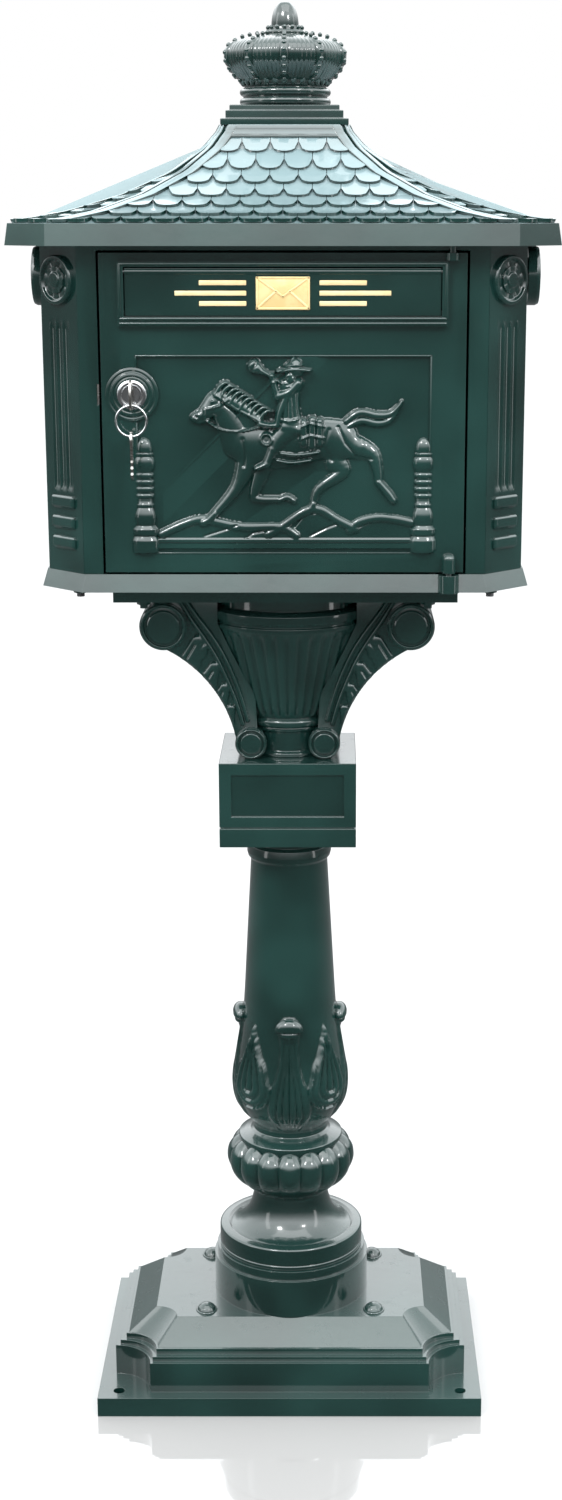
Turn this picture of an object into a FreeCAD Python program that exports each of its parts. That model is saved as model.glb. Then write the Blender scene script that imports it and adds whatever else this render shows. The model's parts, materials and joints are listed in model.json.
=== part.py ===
import FreeCAD, Part
import math
import os
import Sketcher

Vector = FreeCAD.Vector
Rotation = FreeCAD.Rotation

document = FreeCAD.newDocument("post_box")
sheet = document.addObject("Spreadsheet::Sheet", "sizes")

# Driving dimensions in millimetres. x is half a width, y half a depth, z a height over the ground.
DRIVING = {
    # running and seating clearances
    "seat_gap": 0.3, "running_gap": 0.15, "bolt_gap": 0.3, "door_gap": 1.8, "door_lift": 1.5,
    # foot casting
    "flange_x": 163.5, "flange_y": 111.5, "flange_top": 17, "anchor_x": 146, "anchor_y": 98,
    "anchor_bore": 9.5, "tier_x": 151, "tier_y": 100.5, "tier_top": 44, "tier_notch": 32,
    "ledge_x": 147, "ledge_y": 96.5, "ledge_top": 48, "brow_x": 142, "brow_y": 91.5,
    "brow_top": 53, "plateau_x": 116.5, "plateau_y": 66, "plateau_top": 70, "plateau_notch": 19,
    "socket_radius": 67.5, "socket_top": 103, "socket_step_radius": 65, "socket_step_top": 111,
    "foot_wall": 5, "cap_bolt_x": 72.7, "cap_bolt_y": 52.8, "cap_head_radius": 8,
    "cap_head_rise": 6.5, "cap_shank_radius": 4, "clamp_plate": 4,
    # column
    "collar_radius": 62.5, "collar_top": 129.6, "foot_top": 162, "neck_radius": 31.8,
    "column_wall": 6, "lobe_radius": 55.4, "lobe_centre": 194, "lobe_rise": 7,
    "lobe_half": 17, "lobe_top": 223,
    "bulb_radius": 50.1, "bulb_centre": 262, "leaf_top": 333, "shaft_foot_radius": 40,
    "shaft_head_radius": 32.2, "shaft_head": 466, "column_top": 489, "column_head_radius": 36,
    # capital
    "plinth_half": 56, "plinth_top": 560, "plinth_wall": 6, "plinth_band": 17,
    "plinth_recess": 1.5, "plinth_panel": 46, "capital_neck": 33, "cup_ring_radius": 36,
    "cup_foot": 592, "cup_ring_height": 7, "cup_radius": 65, "cup_rim": 672, "cup_top": 700,
    "cup_wall": 5, "disc_top": 684, "disc_over": 1.5, "scroll_x": 100, "scroll_z": 670,
    "scroll_radius": 19.4, "curl_x": 30, "curl_z": 573, "curl_radius": 13,
    "bracket_half_depth": 36, "scroll_half_depth": 40, "bracket_screw_radius": 3,
    "bracket_screw_y": 22,
    # threaded rod through the column
    "rod_radius": 6, "rod_bottom": 45, "rod_top": 731, "rod_nut_height": 10,
    "rod_nut_radius": 9.5, "rod_washer": 2, "rod_washer_radius": 16,
    # pan and tray under the box
    "pan_x": 134, "pan_y": 100, "pan_top": 713, "pan_plate": 4, "pan_boss_radius": 30,
    "pan_bolt_x": 112, "pan_bolt_y": 78, "small_bolt_radius": 3, "small_nut_height": 5,
    "small_head_radius": 5.5, "tray_x": 188.4, "tray_y": 131, "tray_cut": 34,
    "tray_top": 726.5, "tray_floor": 717, "tray_taper": 3, "tray_rim": 12, "tray_corner": 24,
    # box body
    "body_x": 183, "body_y": 126, "body_cut": 30, "body_top": 970, "panel": 3, "opening_x": 138,
    "header": 3.5, "clamp_x": 159, "clamp_y": 99, "rosette_z": 945, "corner_rosette": 18.3,
    "corner_rosette_rise": 6, "bar_width": 26, "bar_height": 9, "bar_rise": 4, "bar_low": 744,
    "bar_pitch": 15.5, "side_rosette": 23, "side_rosette_rise": 19, "ornament_low": 809,
    "ornament_high": 853, "ornament_y": 40, "ornament_rise": 8,
    # roof and finial
    "eave_x": 206.8, "eave_y": 147, "eave_cut": 34, "eave_top": 986, "roof_x": 47.6,
    "roof_y": 40, "roof_cut": 4, "roof_top": 1058, "roof_wall": 4, "roof_hole_x": 172,
    "roof_hole_y": 115, "roof_hole_cut": 40, "cap_x": 49, "cap_y": 41.5, "cap_top": 1063,
    "cap_step": 1069, "cap_head": 1073, "finial_ring": 35.4, "crown_foot": 1090,
    "crown_radius": 49.2, "crown_belly": 1110, "crown_rise": 6, "crown_half": 13,
    "crown_shoulder": 1125, "knob_flange": 16,
    "knob_foot": 1129, "knob_radius": 14, "finial_top": 1150, "stud_radius": 4,
    # door
    "door_sheet": 4, "door_face": 1, "door_recess": 2, "relief_x": 110, "relief_low": 743,
    "relief_high": 890, "hinge_x": 125, "hinge_out": 5, "hinge_barrel": 5, "hinge_pin": 2.5,
    "hinge_lug": 8, "low_barrel": 11, "high_barrel": 5.5, "relief_rise": 4, "bollard_x": 105,
    "bollard_half": 9.5, "bollard_top": 830.5, "hill_top": 768,
    # letter flap
    "frame_x": 122.4, "frame_low": 912, "frame_high": 958.5, "frame_rise": 5, "frame_side": 4.8,
    "frame_foot": 7, "frame_head": 3.5, "flap_gap": 0.6, "flap_sheet": 2.7, "flap_axis": 951.4,
    "flap_pin": 1.2, "flap_knuckle": 2.4, "slot_x": 118, "slot_low": 923, "slot_high": 956,
    "emblem_half": 80, "emblem_low": 924, "emblem_high": 948, "emblem_rise": 0.8,
    # lock and keys
    "lock_x": -113.3, "lock_z": 862, "barrel_radius": 9.5, "bezel_radius": 11.3,
    "bezel_rise": 4.5, "rose_radius": 20, "rose_rise": 2.5, "plug_radius": 6.4,
    "barrel_length": 26.5, "lock_nut_radius": 13, "lock_nut_height": 4, "cam_length": 34,
    "cam_half": 7, "cam_sheet": 2, "keyway": 2.4, "keyway_half": 4, "strike_half": 7.5,
    "strike_sheet": 1.3, "key_sheet": 1.8, "key_blade": 23, "key_blade_half": 3.4,
    "bow_long": 14, "bow_half": 11.5, "spare_bow_half": 7.2, "bow_hole": 2.4, "bow_edge": 2.6,
    "ring_radius": 11.4, "ring_wire": 0.9, "ring_play": 0.75,
}


class Size:
    """A value and the sheet expression that gives it, so that sizes add up like numbers."""

    def __init__(self, value, text):
        self.value = value
        self.text = text

    def join(self, other, sign, turned=False):
        other = other if isinstance(other, Size) else Size(float(other), repr(float(other)))
        first, second = (other, self) if turned else (self, other)
        results = {
            "+": lambda: first.value + second.value,
            "-": lambda: first.value - second.value,
            "*": lambda: first.value * second.value,
            "/": lambda: first.value / second.value,
        }
        return Size(results[sign](), "(" + first.text + " " + sign + " " + second.text + ")")

    def __add__(self, other):
        return self.join(other, "+")

    def __radd__(self, other):
        return self.join(other, "+", True)

    def __sub__(self, other):
        return self.join(other, "-")

    def __rsub__(self, other):
        return self.join(other, "-", True)

    def __mul__(self, other):
        return self.join(other, "*")

    def __rmul__(self, other):
        return self.join(other, "*", True)

    def __truediv__(self, other):
        return self.join(other, "/")

    def __neg__(self):
        return self.join(-1, "*")


class Sizes:
    """The named sizes, read as attributes."""


def fill_sheet():
    sizes = Sizes()
    for row, (name, value) in enumerate(DRIVING.items(), start=1):
        sheet.set("A%d" % row, name)
        sheet.set("B%d" % row, str(value))
        sheet.setAlias("B%d" % row, name)
        setattr(sizes, name, Size(float(value), "sizes." + name))
    document.recompute()
    return sizes


d = fill_sheet()
ground = d.flange_top * 0
sub_parts = []


def number(size):
    return size.value if isinstance(size, Size) else float(size)


def bind(thing, place, size):
    if isinstance(size, Size):
        thing.setExpression(place, size.text)
    else:
        thing.setExpression(place, repr(float(size)))


def keep(thing, label):
    """Mark a finished sub-part."""
    thing.Label = label
    sub_parts.append(thing)
    return thing


def put(thing, at, axis=(0, 0, 1), angle=0.0):
    thing.Placement = FreeCAD.Placement(Vector(*[number(s) for s in at]),
                                        Rotation(Vector(*axis), angle))
    for letter, size in zip("xyz", at):
        bind(thing, "Placement.Base." + letter, size)
    return thing


def block(name, x_range, y_range, z_range):
    box = document.addObject("Part::Box", name)
    for side, (low, high) in zip(("Length", "Width", "Height"), (x_range, y_range, z_range)):
        bind(box, side, high - low)
    return put(box, (x_range[0], y_range[0], z_range[0]))


UP = ((0, 0, 1), 0.0)
ALONG_Y = ((1, 0, 0), -90.0)
ALONG_X = ((0, 1, 0), 90.0)


def rod(name, radius, length, at, way=UP):
    cylinder = document.addObject("Part::Cylinder", name)
    bind(cylinder, "Radius", radius)
    bind(cylinder, "Height", length)
    return put(cylinder, at, way[0], way[1])


def cone(name, low_radius, high_radius, length, at, way=UP):
    piece = document.addObject("Part::Cone", name)
    bind(piece, "Radius1", low_radius)
    bind(piece, "Radius2", high_radius)
    bind(piece, "Height", length)
    return put(piece, at, way[0], way[1])


def fuse(name, pieces):
    whole = document.addObject("Part::MultiFuse", name)
    whole.Shapes = pieces
    return whole


def cut(name, base, tools):
    tool = tools[0] if len(tools) == 1 else fuse(name + "_tool", tools)
    whole = document.addObject("Part::Cut", name)
    whole.Base = base
    whole.Tool = tool
    return whole


def group(name, pieces):
    """Separate solids, such as the four bolts of one pattern, under one name."""
    whole = document.addObject("Part::Compound", name)
    whole.Links = pieces
    return whole


def corners(x, y):
    return [(sx * x, sy * y) for sx in (-1, 1) for sy in (-1, 1)]


def new_body(name):
    return document.addObject("PartDesign::Body", name)


def arc_between(start, end, radius):
    """An arc of a signed radius: positive bulges to the right of the way from start to end."""
    chord = end - start
    half = chord.Length / 2
    turn = 1 if radius > 0 else -1
    rise = math.sqrt(max(radius * radius - half * half, 0))
    side = Vector(-chord.y, chord.x, 0).normalize()
    centre = (start + end) * 0.5 + side * rise * turn
    first, last = (start, end) if turn > 0 else (end, start)
    begin = math.atan2(first.y - centre.y, first.x - centre.x)
    finish = math.atan2(last.y - centre.y, last.x - centre.x)
    circle = Part.Circle(centre, Vector(0, 0, 1), abs(radius))
    return Part.ArcOfCircle(circle, begin, finish)


def outline(body, plane, points, lift=None):
    """A closed outline whose points are (across, up), or (across, up, radius of arc to next)."""
    name = body.Name + "_outline"
    sketch = body.newObject("Sketcher::SketchObject", name)
    for feature in body.Origin.OriginFeatures:
        if feature.Role == plane:
            sketch.AttachmentSupport = [(feature, "")]
    sketch.MapMode = "FlatFace"
    if lift is not None:
        sketch.AttachmentOffset = FreeCAD.Placement(Vector(0, 0, number(lift)), Rotation())
        bind(sketch, "AttachmentOffset.Base.z", lift)
    places = [Vector(number(p[0]), number(p[1]), 0) for p in points]
    ends = []
    for index, point in enumerate(points):
        start, end = places[index], places[(index + 1) % len(points)]
        if len(point) == 3:
            sketch.addGeometry(arc_between(start, end, number(point[2])))
            ends.append((1, 2) if number(point[2]) > 0 else (2, 1))
        else:
            sketch.addGeometry(Part.LineSegment(start, end))
            ends.append((1, 2))
    for index, point in enumerate(points):
        following = (index + 1) % len(points)
        sketch.addConstraint(Sketcher.Constraint("Coincident", index, ends[index][1],
                                                 following, ends[following][0]))
        for kind, size, place in (("DistanceX", point[0], places[index].x),
                                  ("DistanceY", point[1], places[index].y)):
            held = sketch.addConstraint(Sketcher.Constraint(kind, -1, 1, index, ends[index][0],
                                                            place))
            bind(sketch, "Constraints[%d]" % held, size)
        if len(point) == 3:
            held = sketch.addConstraint(Sketcher.Constraint("Radius", index,
                                                            abs(number(point[2]))))
            bind(sketch, "Constraints[%d]" % held, point[2] if number(point[2]) > 0
                 else -point[2])
    return sketch


def turned(name, points):
    """A solid of revolution about the column's axis from (radius, height) points."""
    body = new_body(name)
    sketch = outline(body, "XZ_Plane", points)
    spin = body.newObject("PartDesign::Revolution", name + "_spin")
    spin.Profile = sketch
    spin.ReferenceAxis = (sketch, ["V_Axis"])
    spin.Angle = 360
    return body


def padded(name, plane, points, low, high):
    """An outline pushed along its plane's normal from low to high."""
    body = new_body(name)
    sketch = outline(body, plane, points, low)
    pad = body.newObject("PartDesign::Pad", name + "_pad")
    pad.Profile = sketch
    bind(pad, "Length", high - low)
    return body


def lofted(name, sections):
    """A ruled solid through (height, points) sections, lowest first."""
    body = new_body(name)
    sketches = [outline(body, "XY_Plane", points, height) for height, points in sections]
    loft = body.newObject("PartDesign::AdditiveLoft", name + "_loft")
    loft.Profile = sketches[0]
    loft.Sections = sketches[1:]
    loft.Ruled = True
    return body


def bulge(rise, half):
    """The radius of an arc that rises by rise over a chord of two halves."""
    return (rise * rise + half * half) / (2 * rise)


def octagon(x, y, corner):
    return [(-x, -y + corner), (-x + corner, -y), (x - corner, -y), (x, -y + corner),
            (x, y - corner), (x - corner, y), (-x + corner, y), (-x, y - corner)]


def notched(x, y, notch):
    """A rectangle whose corners are scooped out by quarter circles."""
    return [(-x, -y + notch, notch), (-x + notch, -y), (x - notch, -y, notch),
            (x, -y + notch), (x, y - notch, notch), (x - notch, y),
            (-x + notch, y, notch), (-x, y - notch)]


def scooped(points):
    """The same outline with its arcs bulging into the rectangle."""
    return [(p[0], p[1], -p[2]) if len(p) == 3 else p for p in points]


# ---------------------------------------------------------------- foot

def foot_step(name, x, y, notch, low, high):
    return padded(name, "XY_Plane", scooped(notched(x, y, notch)), low, high)


def foot_casting():
    wall = d.foot_wall
    flange = block("flange", (-d.flange_x, d.flange_x), (-d.flange_y, d.flange_y),
                   (ground, d.flange_top))
    tier = foot_step("tier", d.tier_x, d.tier_y, d.tier_notch, d.flange_top, d.tier_top)
    ledge = foot_step("ledge", d.ledge_x, d.ledge_y, d.tier_notch - 2, d.tier_top, d.ledge_top)
    brow = foot_step("brow", d.brow_x, d.brow_y, d.tier_notch - 4, d.ledge_top, d.brow_top)
    slope = lofted("slope", [
        (d.brow_top, scooped(notched(d.brow_x - 2, d.brow_y - 2, d.tier_notch - 5))),
        (d.plateau_top, scooped(notched(d.plateau_x, d.plateau_y, d.plateau_notch)))])
    socket = rod("socket", d.socket_radius, d.socket_top - d.plateau_top,
                 (0, 0, d.plateau_top))
    step = rod("socket_step", d.socket_step_radius, d.socket_step_top - d.socket_top,
               (0, 0, d.socket_top))
    low_room = foot_step("low_room", d.tier_x - wall, d.tier_y - wall, d.tier_notch, ground,
                         d.tier_top - wall)
    mid_room = foot_step("mid_room", d.brow_x - 2 * wall, d.brow_y - 2 * wall,
                         d.tier_notch - 4, ground, d.brow_top - wall)
    high_room = foot_step("high_room", d.plateau_x - 2, d.plateau_y - 2, d.plateau_notch,
                          ground, d.plateau_top - wall)
    socket_room = rod("socket_room", d.socket_radius - wall - 2.5,
                      d.socket_step_top - wall - d.plateau_top + wall,
                      (0, 0, d.plateau_top - wall))
    drill = rod("foot_rod_hole", d.rod_radius + d.bolt_gap, d.socket_step_top, (0, 0, 0))
    holes = [rod("anchor_hole", d.anchor_bore / 2, d.flange_top * 2, (x, y, -d.flange_top / 2))
             for x, y in corners(d.anchor_x, d.anchor_y)]
    holes += [rod("cap_hole", d.cap_shank_radius + d.bolt_gap, d.plateau_top, (x, y, 0))
              for x, y in corners(d.cap_bolt_x, d.cap_bolt_y)]
    solid = fuse("foot_solid", [flange, tier, ledge, brow, slope, socket, step])
    keep(cut("foot_casting", solid, [low_room, mid_room, high_room, socket_room, drill] + holes),
         "foot_casting")


def cap_bolts():
    heads, washers, nuts = [], [], []
    plate_low = d.plateau_top - d.foot_wall - d.clamp_plate
    washer = 1.5
    for x, y in corners(d.cap_bolt_x, d.cap_bolt_y):
        head = cone("cap_head", d.cap_head_radius, d.cap_head_radius * 0.45, d.cap_head_rise,
                    (x, y, d.plateau_top))
        shank = rod("cap_shank", d.cap_shank_radius, d.plateau_top - d.rod_bottom - 4,
                    (x, y, d.rod_bottom + 4))
        heads.append(fuse("cap_bolt", [head, shank]))
        hole = rod("cap_bore", d.cap_shank_radius, d.plateau_top, (x, y, 0))
        disc = rod("cap_washer_disc", d.cap_head_radius, Size(washer, repr(washer)),
                   (x, y, plate_low - washer))
        washers.append(cut("cap_washer", disc, [hole]))
        body = hexagon("cap_nut_body", d.cap_head_radius * 0.9, 6.5, (x, y, plate_low - 8))
        bore = rod("cap_nut_bore", d.cap_shank_radius, d.plateau_top, (x, y, 0))
        nuts.append(cut("cap_nut", body, [bore]))
    keep(group("cap_bolt_set", heads), "foot_cap_bolts")
    keep(group("cap_washer_set", washers), "foot_washers")
    keep(group("cap_nut_set", nuts), "foot_nuts")


def hexagon(name, radius, length, at):
    prism = document.addObject("Part::Prism", name)
    prism.Polygon = 6
    bind(prism, "Circumradius", radius)
    bind(prism, "Height", length)
    return put(prism, at)


def clamp_plate():
    top = d.plateau_top - d.foot_wall
    reach = d.cap_head_radius + 6
    plate = block("clamp_sheet", (-d.cap_bolt_x - reach, d.cap_bolt_x + reach),
                  (-d.cap_bolt_y - reach * 0.7, d.cap_bolt_y + reach * 0.7),
                  (top - d.clamp_plate, top))
    holes = [rod("clamp_hole", d.cap_shank_radius + d.bolt_gap, d.plateau_top, (x, y, 0))
             for x, y in corners(d.cap_bolt_x, d.cap_bolt_y)]
    holes.append(rod("clamp_rod_hole", d.rod_radius + d.bolt_gap, d.plateau_top, (0, 0, 0)))
    keep(cut("clamp_plate_cut", plate, holes), "clamp_plate")


# ---------------------------------------------------------------- column

def column_foot():
    inner = d.neck_radius - d.column_wall
    keep(turned("column_foot_body", [
        (d.collar_radius - d.column_wall, d.socket_step_top),
        (d.collar_radius, d.socket_step_top),
        (d.collar_radius, d.collar_top),
        (d.neck_radius + 16, d.collar_top + 1.5, 34),
        (d.neck_radius, d.foot_top - 6),
        (d.neck_radius, d.foot_top),
        (inner, d.foot_top),
        (inner, d.collar_top + 6),
        (d.collar_radius - d.column_wall, d.collar_top - 6)]), "column_foot")


def lobed_collar():
    inner = d.neck_radius - d.column_wall
    radius = d.lobe_radius
    low = d.foot_top
    half = d.lobe_half
    keep(turned("lobed_collar_body", [
        (inner, low), (d.neck_radius, low), (d.neck_radius + 5, low + 4),
        (radius - d.lobe_rise, d.lobe_centre - half, bulge(d.lobe_rise, half)),
        (radius - d.lobe_rise, d.lobe_centre + half), (d.neck_radius + 11, d.lobe_centre + 23),
        (d.neck_radius, d.lobe_centre + 25), (d.neck_radius, d.lobe_top), (inner, d.lobe_top),
        (inner, d.lobe_centre + 18), (radius - 9, d.lobe_centre + 6),
        (radius - 9, d.lobe_centre - 6), (inner, low + 8)]), "lobed_collar")


def leaf_column():
    inner = d.neck_radius - d.column_wall
    wall = d.column_wall
    keep(turned("leaf_column_body", [
        (inner, d.lobe_top), (d.neck_radius, d.lobe_top), (d.neck_radius + 1, d.lobe_top + 5),
        (d.bulb_radius - 7, d.lobe_top + 17), (d.bulb_radius - 1.7, d.lobe_top + 28),
        (d.bulb_radius, d.bulb_centre),
        (d.bulb_radius - 5, d.leaf_top - 17), (d.bulb_radius - 4.5, d.leaf_top - 4),
        (d.shaft_foot_radius, d.leaf_top + 6), (d.shaft_head_radius, d.shaft_head - 2),
        (d.shaft_head_radius + 2, d.shaft_head + 2), (d.shaft_head_radius + 2, d.shaft_head + 13),
        (d.shaft_head_radius, d.shaft_head + 17), (d.column_head_radius, d.column_top - 4),
        (d.column_head_radius, d.column_top), (d.shaft_head_radius - wall, d.column_top),
        (d.shaft_head_radius - wall, d.shaft_head), (d.shaft_foot_radius - wall, d.leaf_top),
        (d.bulb_radius - wall - 2, d.bulb_centre)]), "leaf_column")


def capital_plinth():
    half = d.plinth_half
    wall = d.plinth_wall
    low = d.column_top
    band = low + d.plinth_band
    body = block("plinth_block", (-half, half), (-half, half), (low, d.plinth_top))
    room = block("plinth_room", (-half + wall, half - wall), (-half + wall, half - wall),
                 (low + wall, d.plinth_top - wall))
    hole = rod("plinth_hole", d.rod_radius + d.bolt_gap, d.plinth_top - low, (0, 0, low))
    tools = [room, hole]
    panel, deep = d.plinth_panel, d.plinth_recess
    z_range = (band + 9, d.plinth_top - 10)
    for near, far in ((-half, -half + deep), (half - deep, half)):
        tools.append(block("plinth_panel_x", (near, far), (-panel, panel), z_range))
        tools.append(block("plinth_panel_y", (-panel, panel), (near, far), z_range))
    edge = 1.2
    for near, far in ((-half, -half + edge), (half - edge, half)):
        tools.append(block("plinth_line_x", (near, far), (-half, half), (band - edge, band)))
        tools.append(block("plinth_line_y", (-half, half), (near, far), (band - edge, band)))
    keep(cut("capital_plinth_cut", body, tools), "capital_plinth")


def capital_cup():
    wall = d.cup_wall
    foot = d.plinth_top
    ring_low = d.cup_foot - d.cup_ring_height
    disc = d.cup_radius + d.disc_over
    keep(turned("capital_cup_body", [
        (d.capital_neck - wall, foot), (d.capital_neck, foot), (d.capital_neck, ring_low),
        (d.cup_ring_radius, ring_low), (d.cup_ring_radius, d.cup_foot),
        (d.cup_radius, d.cup_rim), (disc, d.cup_rim + 1), (disc, d.disc_top),
        (d.cup_radius - 5, d.disc_top), (d.cup_radius - 5, d.cup_top),
        (d.cup_radius - 5 - wall, d.cup_top), (d.cup_radius - 5 - wall, d.cup_rim),
        (d.capital_neck - wall, d.cup_foot)]), "capital_cup")


def scroll_bracket(side, word):
    """A scrolled bracket: a web with a big scroll at the top and a curl at the foot."""
    scroll_x, curl_x = d.scroll_x, d.curl_x
    web = padded("web_" + word, "XZ_Plane", [
        (curl_x - 6, d.plinth_top + 2),
        (curl_x + 8, d.plinth_top + 4),
        (curl_x + 13, d.curl_z + 6, -105),
        (scroll_x + 4, d.scroll_z - 17),
        (scroll_x + 10, d.cup_top),
        (curl_x, d.cup_top)], -d.bracket_half_depth, d.bracket_half_depth)
    scroll = rod("scroll_" + word, d.scroll_radius, d.scroll_half_depth * 2,
                 (scroll_x, -d.scroll_half_depth, d.scroll_z), ALONG_Y)
    curl = rod("curl_" + word, d.curl_radius, d.scroll_half_depth * 2,
               (curl_x, -d.scroll_half_depth, d.curl_z), ALONG_Y)
    gap = d.seat_gap
    ring = d.cup_ring_radius + gap
    wide = d.cup_radius + d.disc_over + gap
    saddle = [rod("saddle_neck_" + word, ring, d.cup_foot - d.plinth_top,
                  (0, 0, d.plinth_top)),
              cone("saddle_cup_" + word, ring, wide, d.cup_rim - d.cup_foot,
                   (0, 0, d.cup_foot)),
              rod("saddle_disc_" + word, wide, d.cup_top - d.cup_rim + 1, (0, 0, d.cup_rim))]
    holes = [rod("bracket_hole_" + word, d.bracket_screw_radius, Size(20.0, "20.0"),
                 (scroll_x - 6, y, d.cup_top - 20)) for y in (-d.bracket_screw_y,
                                                              d.bracket_screw_y)]
    whole = cut("bracket_" + word, fuse("bracket_solid_" + word, [web, scroll, curl]),
                saddle + holes)
    if side > 0:
        return keep(whole, "scroll_bracket_" + word)
    mirrored = document.addObject("Part::Mirroring", "bracket_mirror_" + word)
    mirrored.Source = whole
    mirrored.Normal = Vector(1, 0, 0)
    return keep(mirrored, "scroll_bracket_" + word)


def tie_rod():
    top_seat = d.tray_floor
    low_seat = d.plateau_top - d.foot_wall - d.clamp_plate
    thick = d.rod_washer
    keep(rod("tie_rod_bar", d.rod_radius, d.rod_top - d.rod_bottom, (0, 0, d.rod_bottom)),
         "column_tie_rod")
    bore = ground + d.rod_radius
    washers, nuts = [], []
    for low in (low_seat - thick, top_seat):
        disc = rod("rod_washer_disc", d.rod_washer_radius, thick, (0, 0, low))
        washers.append(cut("rod_washer_cut", disc, [rod("rod_washer_bore", bore, d.rod_top,
                                                        (0, 0, 0))]))
    for low in (low_seat - thick - d.rod_nut_height, top_seat + thick):
        body = hexagon("rod_nut_body", d.rod_nut_radius, d.rod_nut_height, (0, 0, low))
        nuts.append(cut("rod_nut_cut", body, [rod("rod_nut_bore", bore, d.rod_top, (0, 0, 0))]))
    keep(group("rod_washer_set", washers), "tie_rod_washers")
    keep(group("rod_nut_set", nuts), "tie_rod_nuts")


# ---------------------------------------------------------------- pan and tray

def pan_holes(name):
    radius = d.small_bolt_radius + d.bolt_gap
    holes = [rod(name + "_bolt_hole", radius, d.pan_top, (x, y, d.cup_top / 2))
             for x, y in corners(d.pan_bolt_x, d.pan_bolt_y)]
    holes.append(rod(name + "_rod_hole", d.rod_radius + d.bolt_gap, d.pan_top,
                     (0, 0, d.cup_top / 2)))
    return holes


def mount_pan():
    wall = d.pan_plate
    solid = block("pan_block", (-d.pan_x, d.pan_x), (-d.pan_y, d.pan_y), (d.cup_top, d.pan_top))
    room = block("pan_room", (-d.pan_x + wall, d.pan_x - wall),
                 (-d.pan_y + wall, d.pan_y - wall), (d.cup_top + wall, d.pan_top))
    boss = rod("pan_boss", d.pan_boss_radius, d.pan_top - d.cup_top, (0, 0, d.cup_top))
    holes = pan_holes("pan")
    for x, y in bracket_screw_places():
        holes.append(rod("pan_screw_hole", d.bracket_screw_radius + d.bolt_gap, wall * 2,
                         (x, y, d.cup_top - wall / 2)))
    pan = fuse("pan_whole", [cut("pan_dish", solid, [room]), boss])
    keep(cut("mount_pan_cut", pan, holes), "mount_pan")


def bracket_screw_places():
    return [(side * (d.scroll_x - 6), y * d.bracket_screw_y)
            for side in (-1, 1) for y in (-1, 1)]


def bracket_screws():
    screws = []
    top = d.cup_top + d.pan_plate
    for x, y in bracket_screw_places():
        head = rod("bracket_screw_head", d.small_head_radius, d.small_bolt_radius, (x, y, top))
        shank = rod("bracket_screw_shank", d.bracket_screw_radius, d.pan_plate + 14,
                    (x, y, top - d.pan_plate - 14))
        screws.append(fuse("bracket_screw", [head, shank]))
    keep(group("bracket_screw_set", screws), "bracket_screws")


def floor_tray():
    base = octagon(d.tray_x, d.tray_y, d.tray_cut)
    brim = octagon(d.tray_x - d.tray_taper, d.tray_y - d.tray_taper, d.tray_cut)
    solid = lofted("tray_block", [(d.pan_top, base), (d.tray_top, brim)])
    rim = d.tray_rim
    room = padded("tray_room", "XY_Plane",
                  octagon(d.tray_x - rim, d.tray_y - rim, d.tray_cut + d.tray_corner),
                  d.tray_floor, d.tray_top)
    lug = rod("tray_lug", d.hinge_lug, d.tray_top - d.pan_top,
              (d.hinge_x, -d.body_y - d.hinge_out, d.pan_top))
    pin = rod("tray_pin_hole", d.hinge_pin, d.tray_top - d.pan_top,
              (d.hinge_x, -d.body_y - d.hinge_out, d.pan_top + 3))
    holes = pan_holes("tray")
    holes += [rod("tray_clamp_hole", d.small_bolt_radius + d.bolt_gap, d.pan_top,
                  (x, y, d.cup_top)) for x, y in corners(d.clamp_x, d.clamp_y)]
    tray = fuse("tray_whole", [cut("tray_dish", solid, [room]), lug])
    keep(cut("floor_tray_cut", tray, [pin] + holes), "floor_tray")


def small_nut(name, x, y, low):
    body = hexagon(name + "_body", d.small_head_radius, d.small_nut_height, (x, y, low))
    bore = rod(name + "_bore", d.small_bolt_radius, d.small_nut_height, (x, y, low))
    return cut(name, body, [bore])


def pan_bolts():
    bolts, nuts = [], []
    low = d.cup_top - d.small_nut_height
    for x, y in corners(d.pan_bolt_x, d.pan_bolt_y):
        head = rod("pan_bolt_head", d.small_head_radius, d.small_bolt_radius,
                   (x, y, d.tray_floor))
        shank = rod("pan_bolt_shank", d.small_bolt_radius, d.tray_floor - low + 3,
                    (x, y, low - 3))
        bolts.append(fuse("pan_bolt", [head, shank]))
        nuts.append(small_nut("pan_nut", x, y, low))
    keep(group("pan_bolt_set", bolts), "tray_bolts")
    keep(group("pan_nut_set", nuts), "tray_nuts")


# ---------------------------------------------------------------- box body

def front_frame():
    x, edge, low, top = d.body_x - d.body_cut, d.opening_x, d.tray_top, d.body_top
    under = top - d.header
    frame = padded("front_frame_sheet", "XZ_Plane", [
        (-x, low), (-edge, low), (-edge, under), (edge, under), (edge, low), (x, low),
        (x, top), (-x, top)], d.body_y - d.panel, d.body_y)
    notch = block("strike_notch", (-edge - d.strike_sheet - 0.2, -edge),
                  (-d.body_y, -d.body_y + d.panel),
                  (d.lock_z - d.strike_half - 0.2, d.lock_z + d.strike_half + 0.2))
    keep(cut("front_frame_cut", frame, [notch]), "front_frame")


def flat_panels():
    x, y = d.body_x - d.body_cut, d.body_y - d.body_cut
    z_range = (d.tray_top, d.body_top)
    keep(block("back_sheet", (-x, x), (d.body_y - d.panel, d.body_y), z_range), "back_panel")
    keep(block("left_sheet", (-d.body_x, -d.body_x + d.panel), (-y, y), z_range),
         "side_panel_left")
    keep(block("right_sheet", (d.body_x - d.panel, d.body_x), (-y, y), z_range),
         "side_panel_right")


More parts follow.
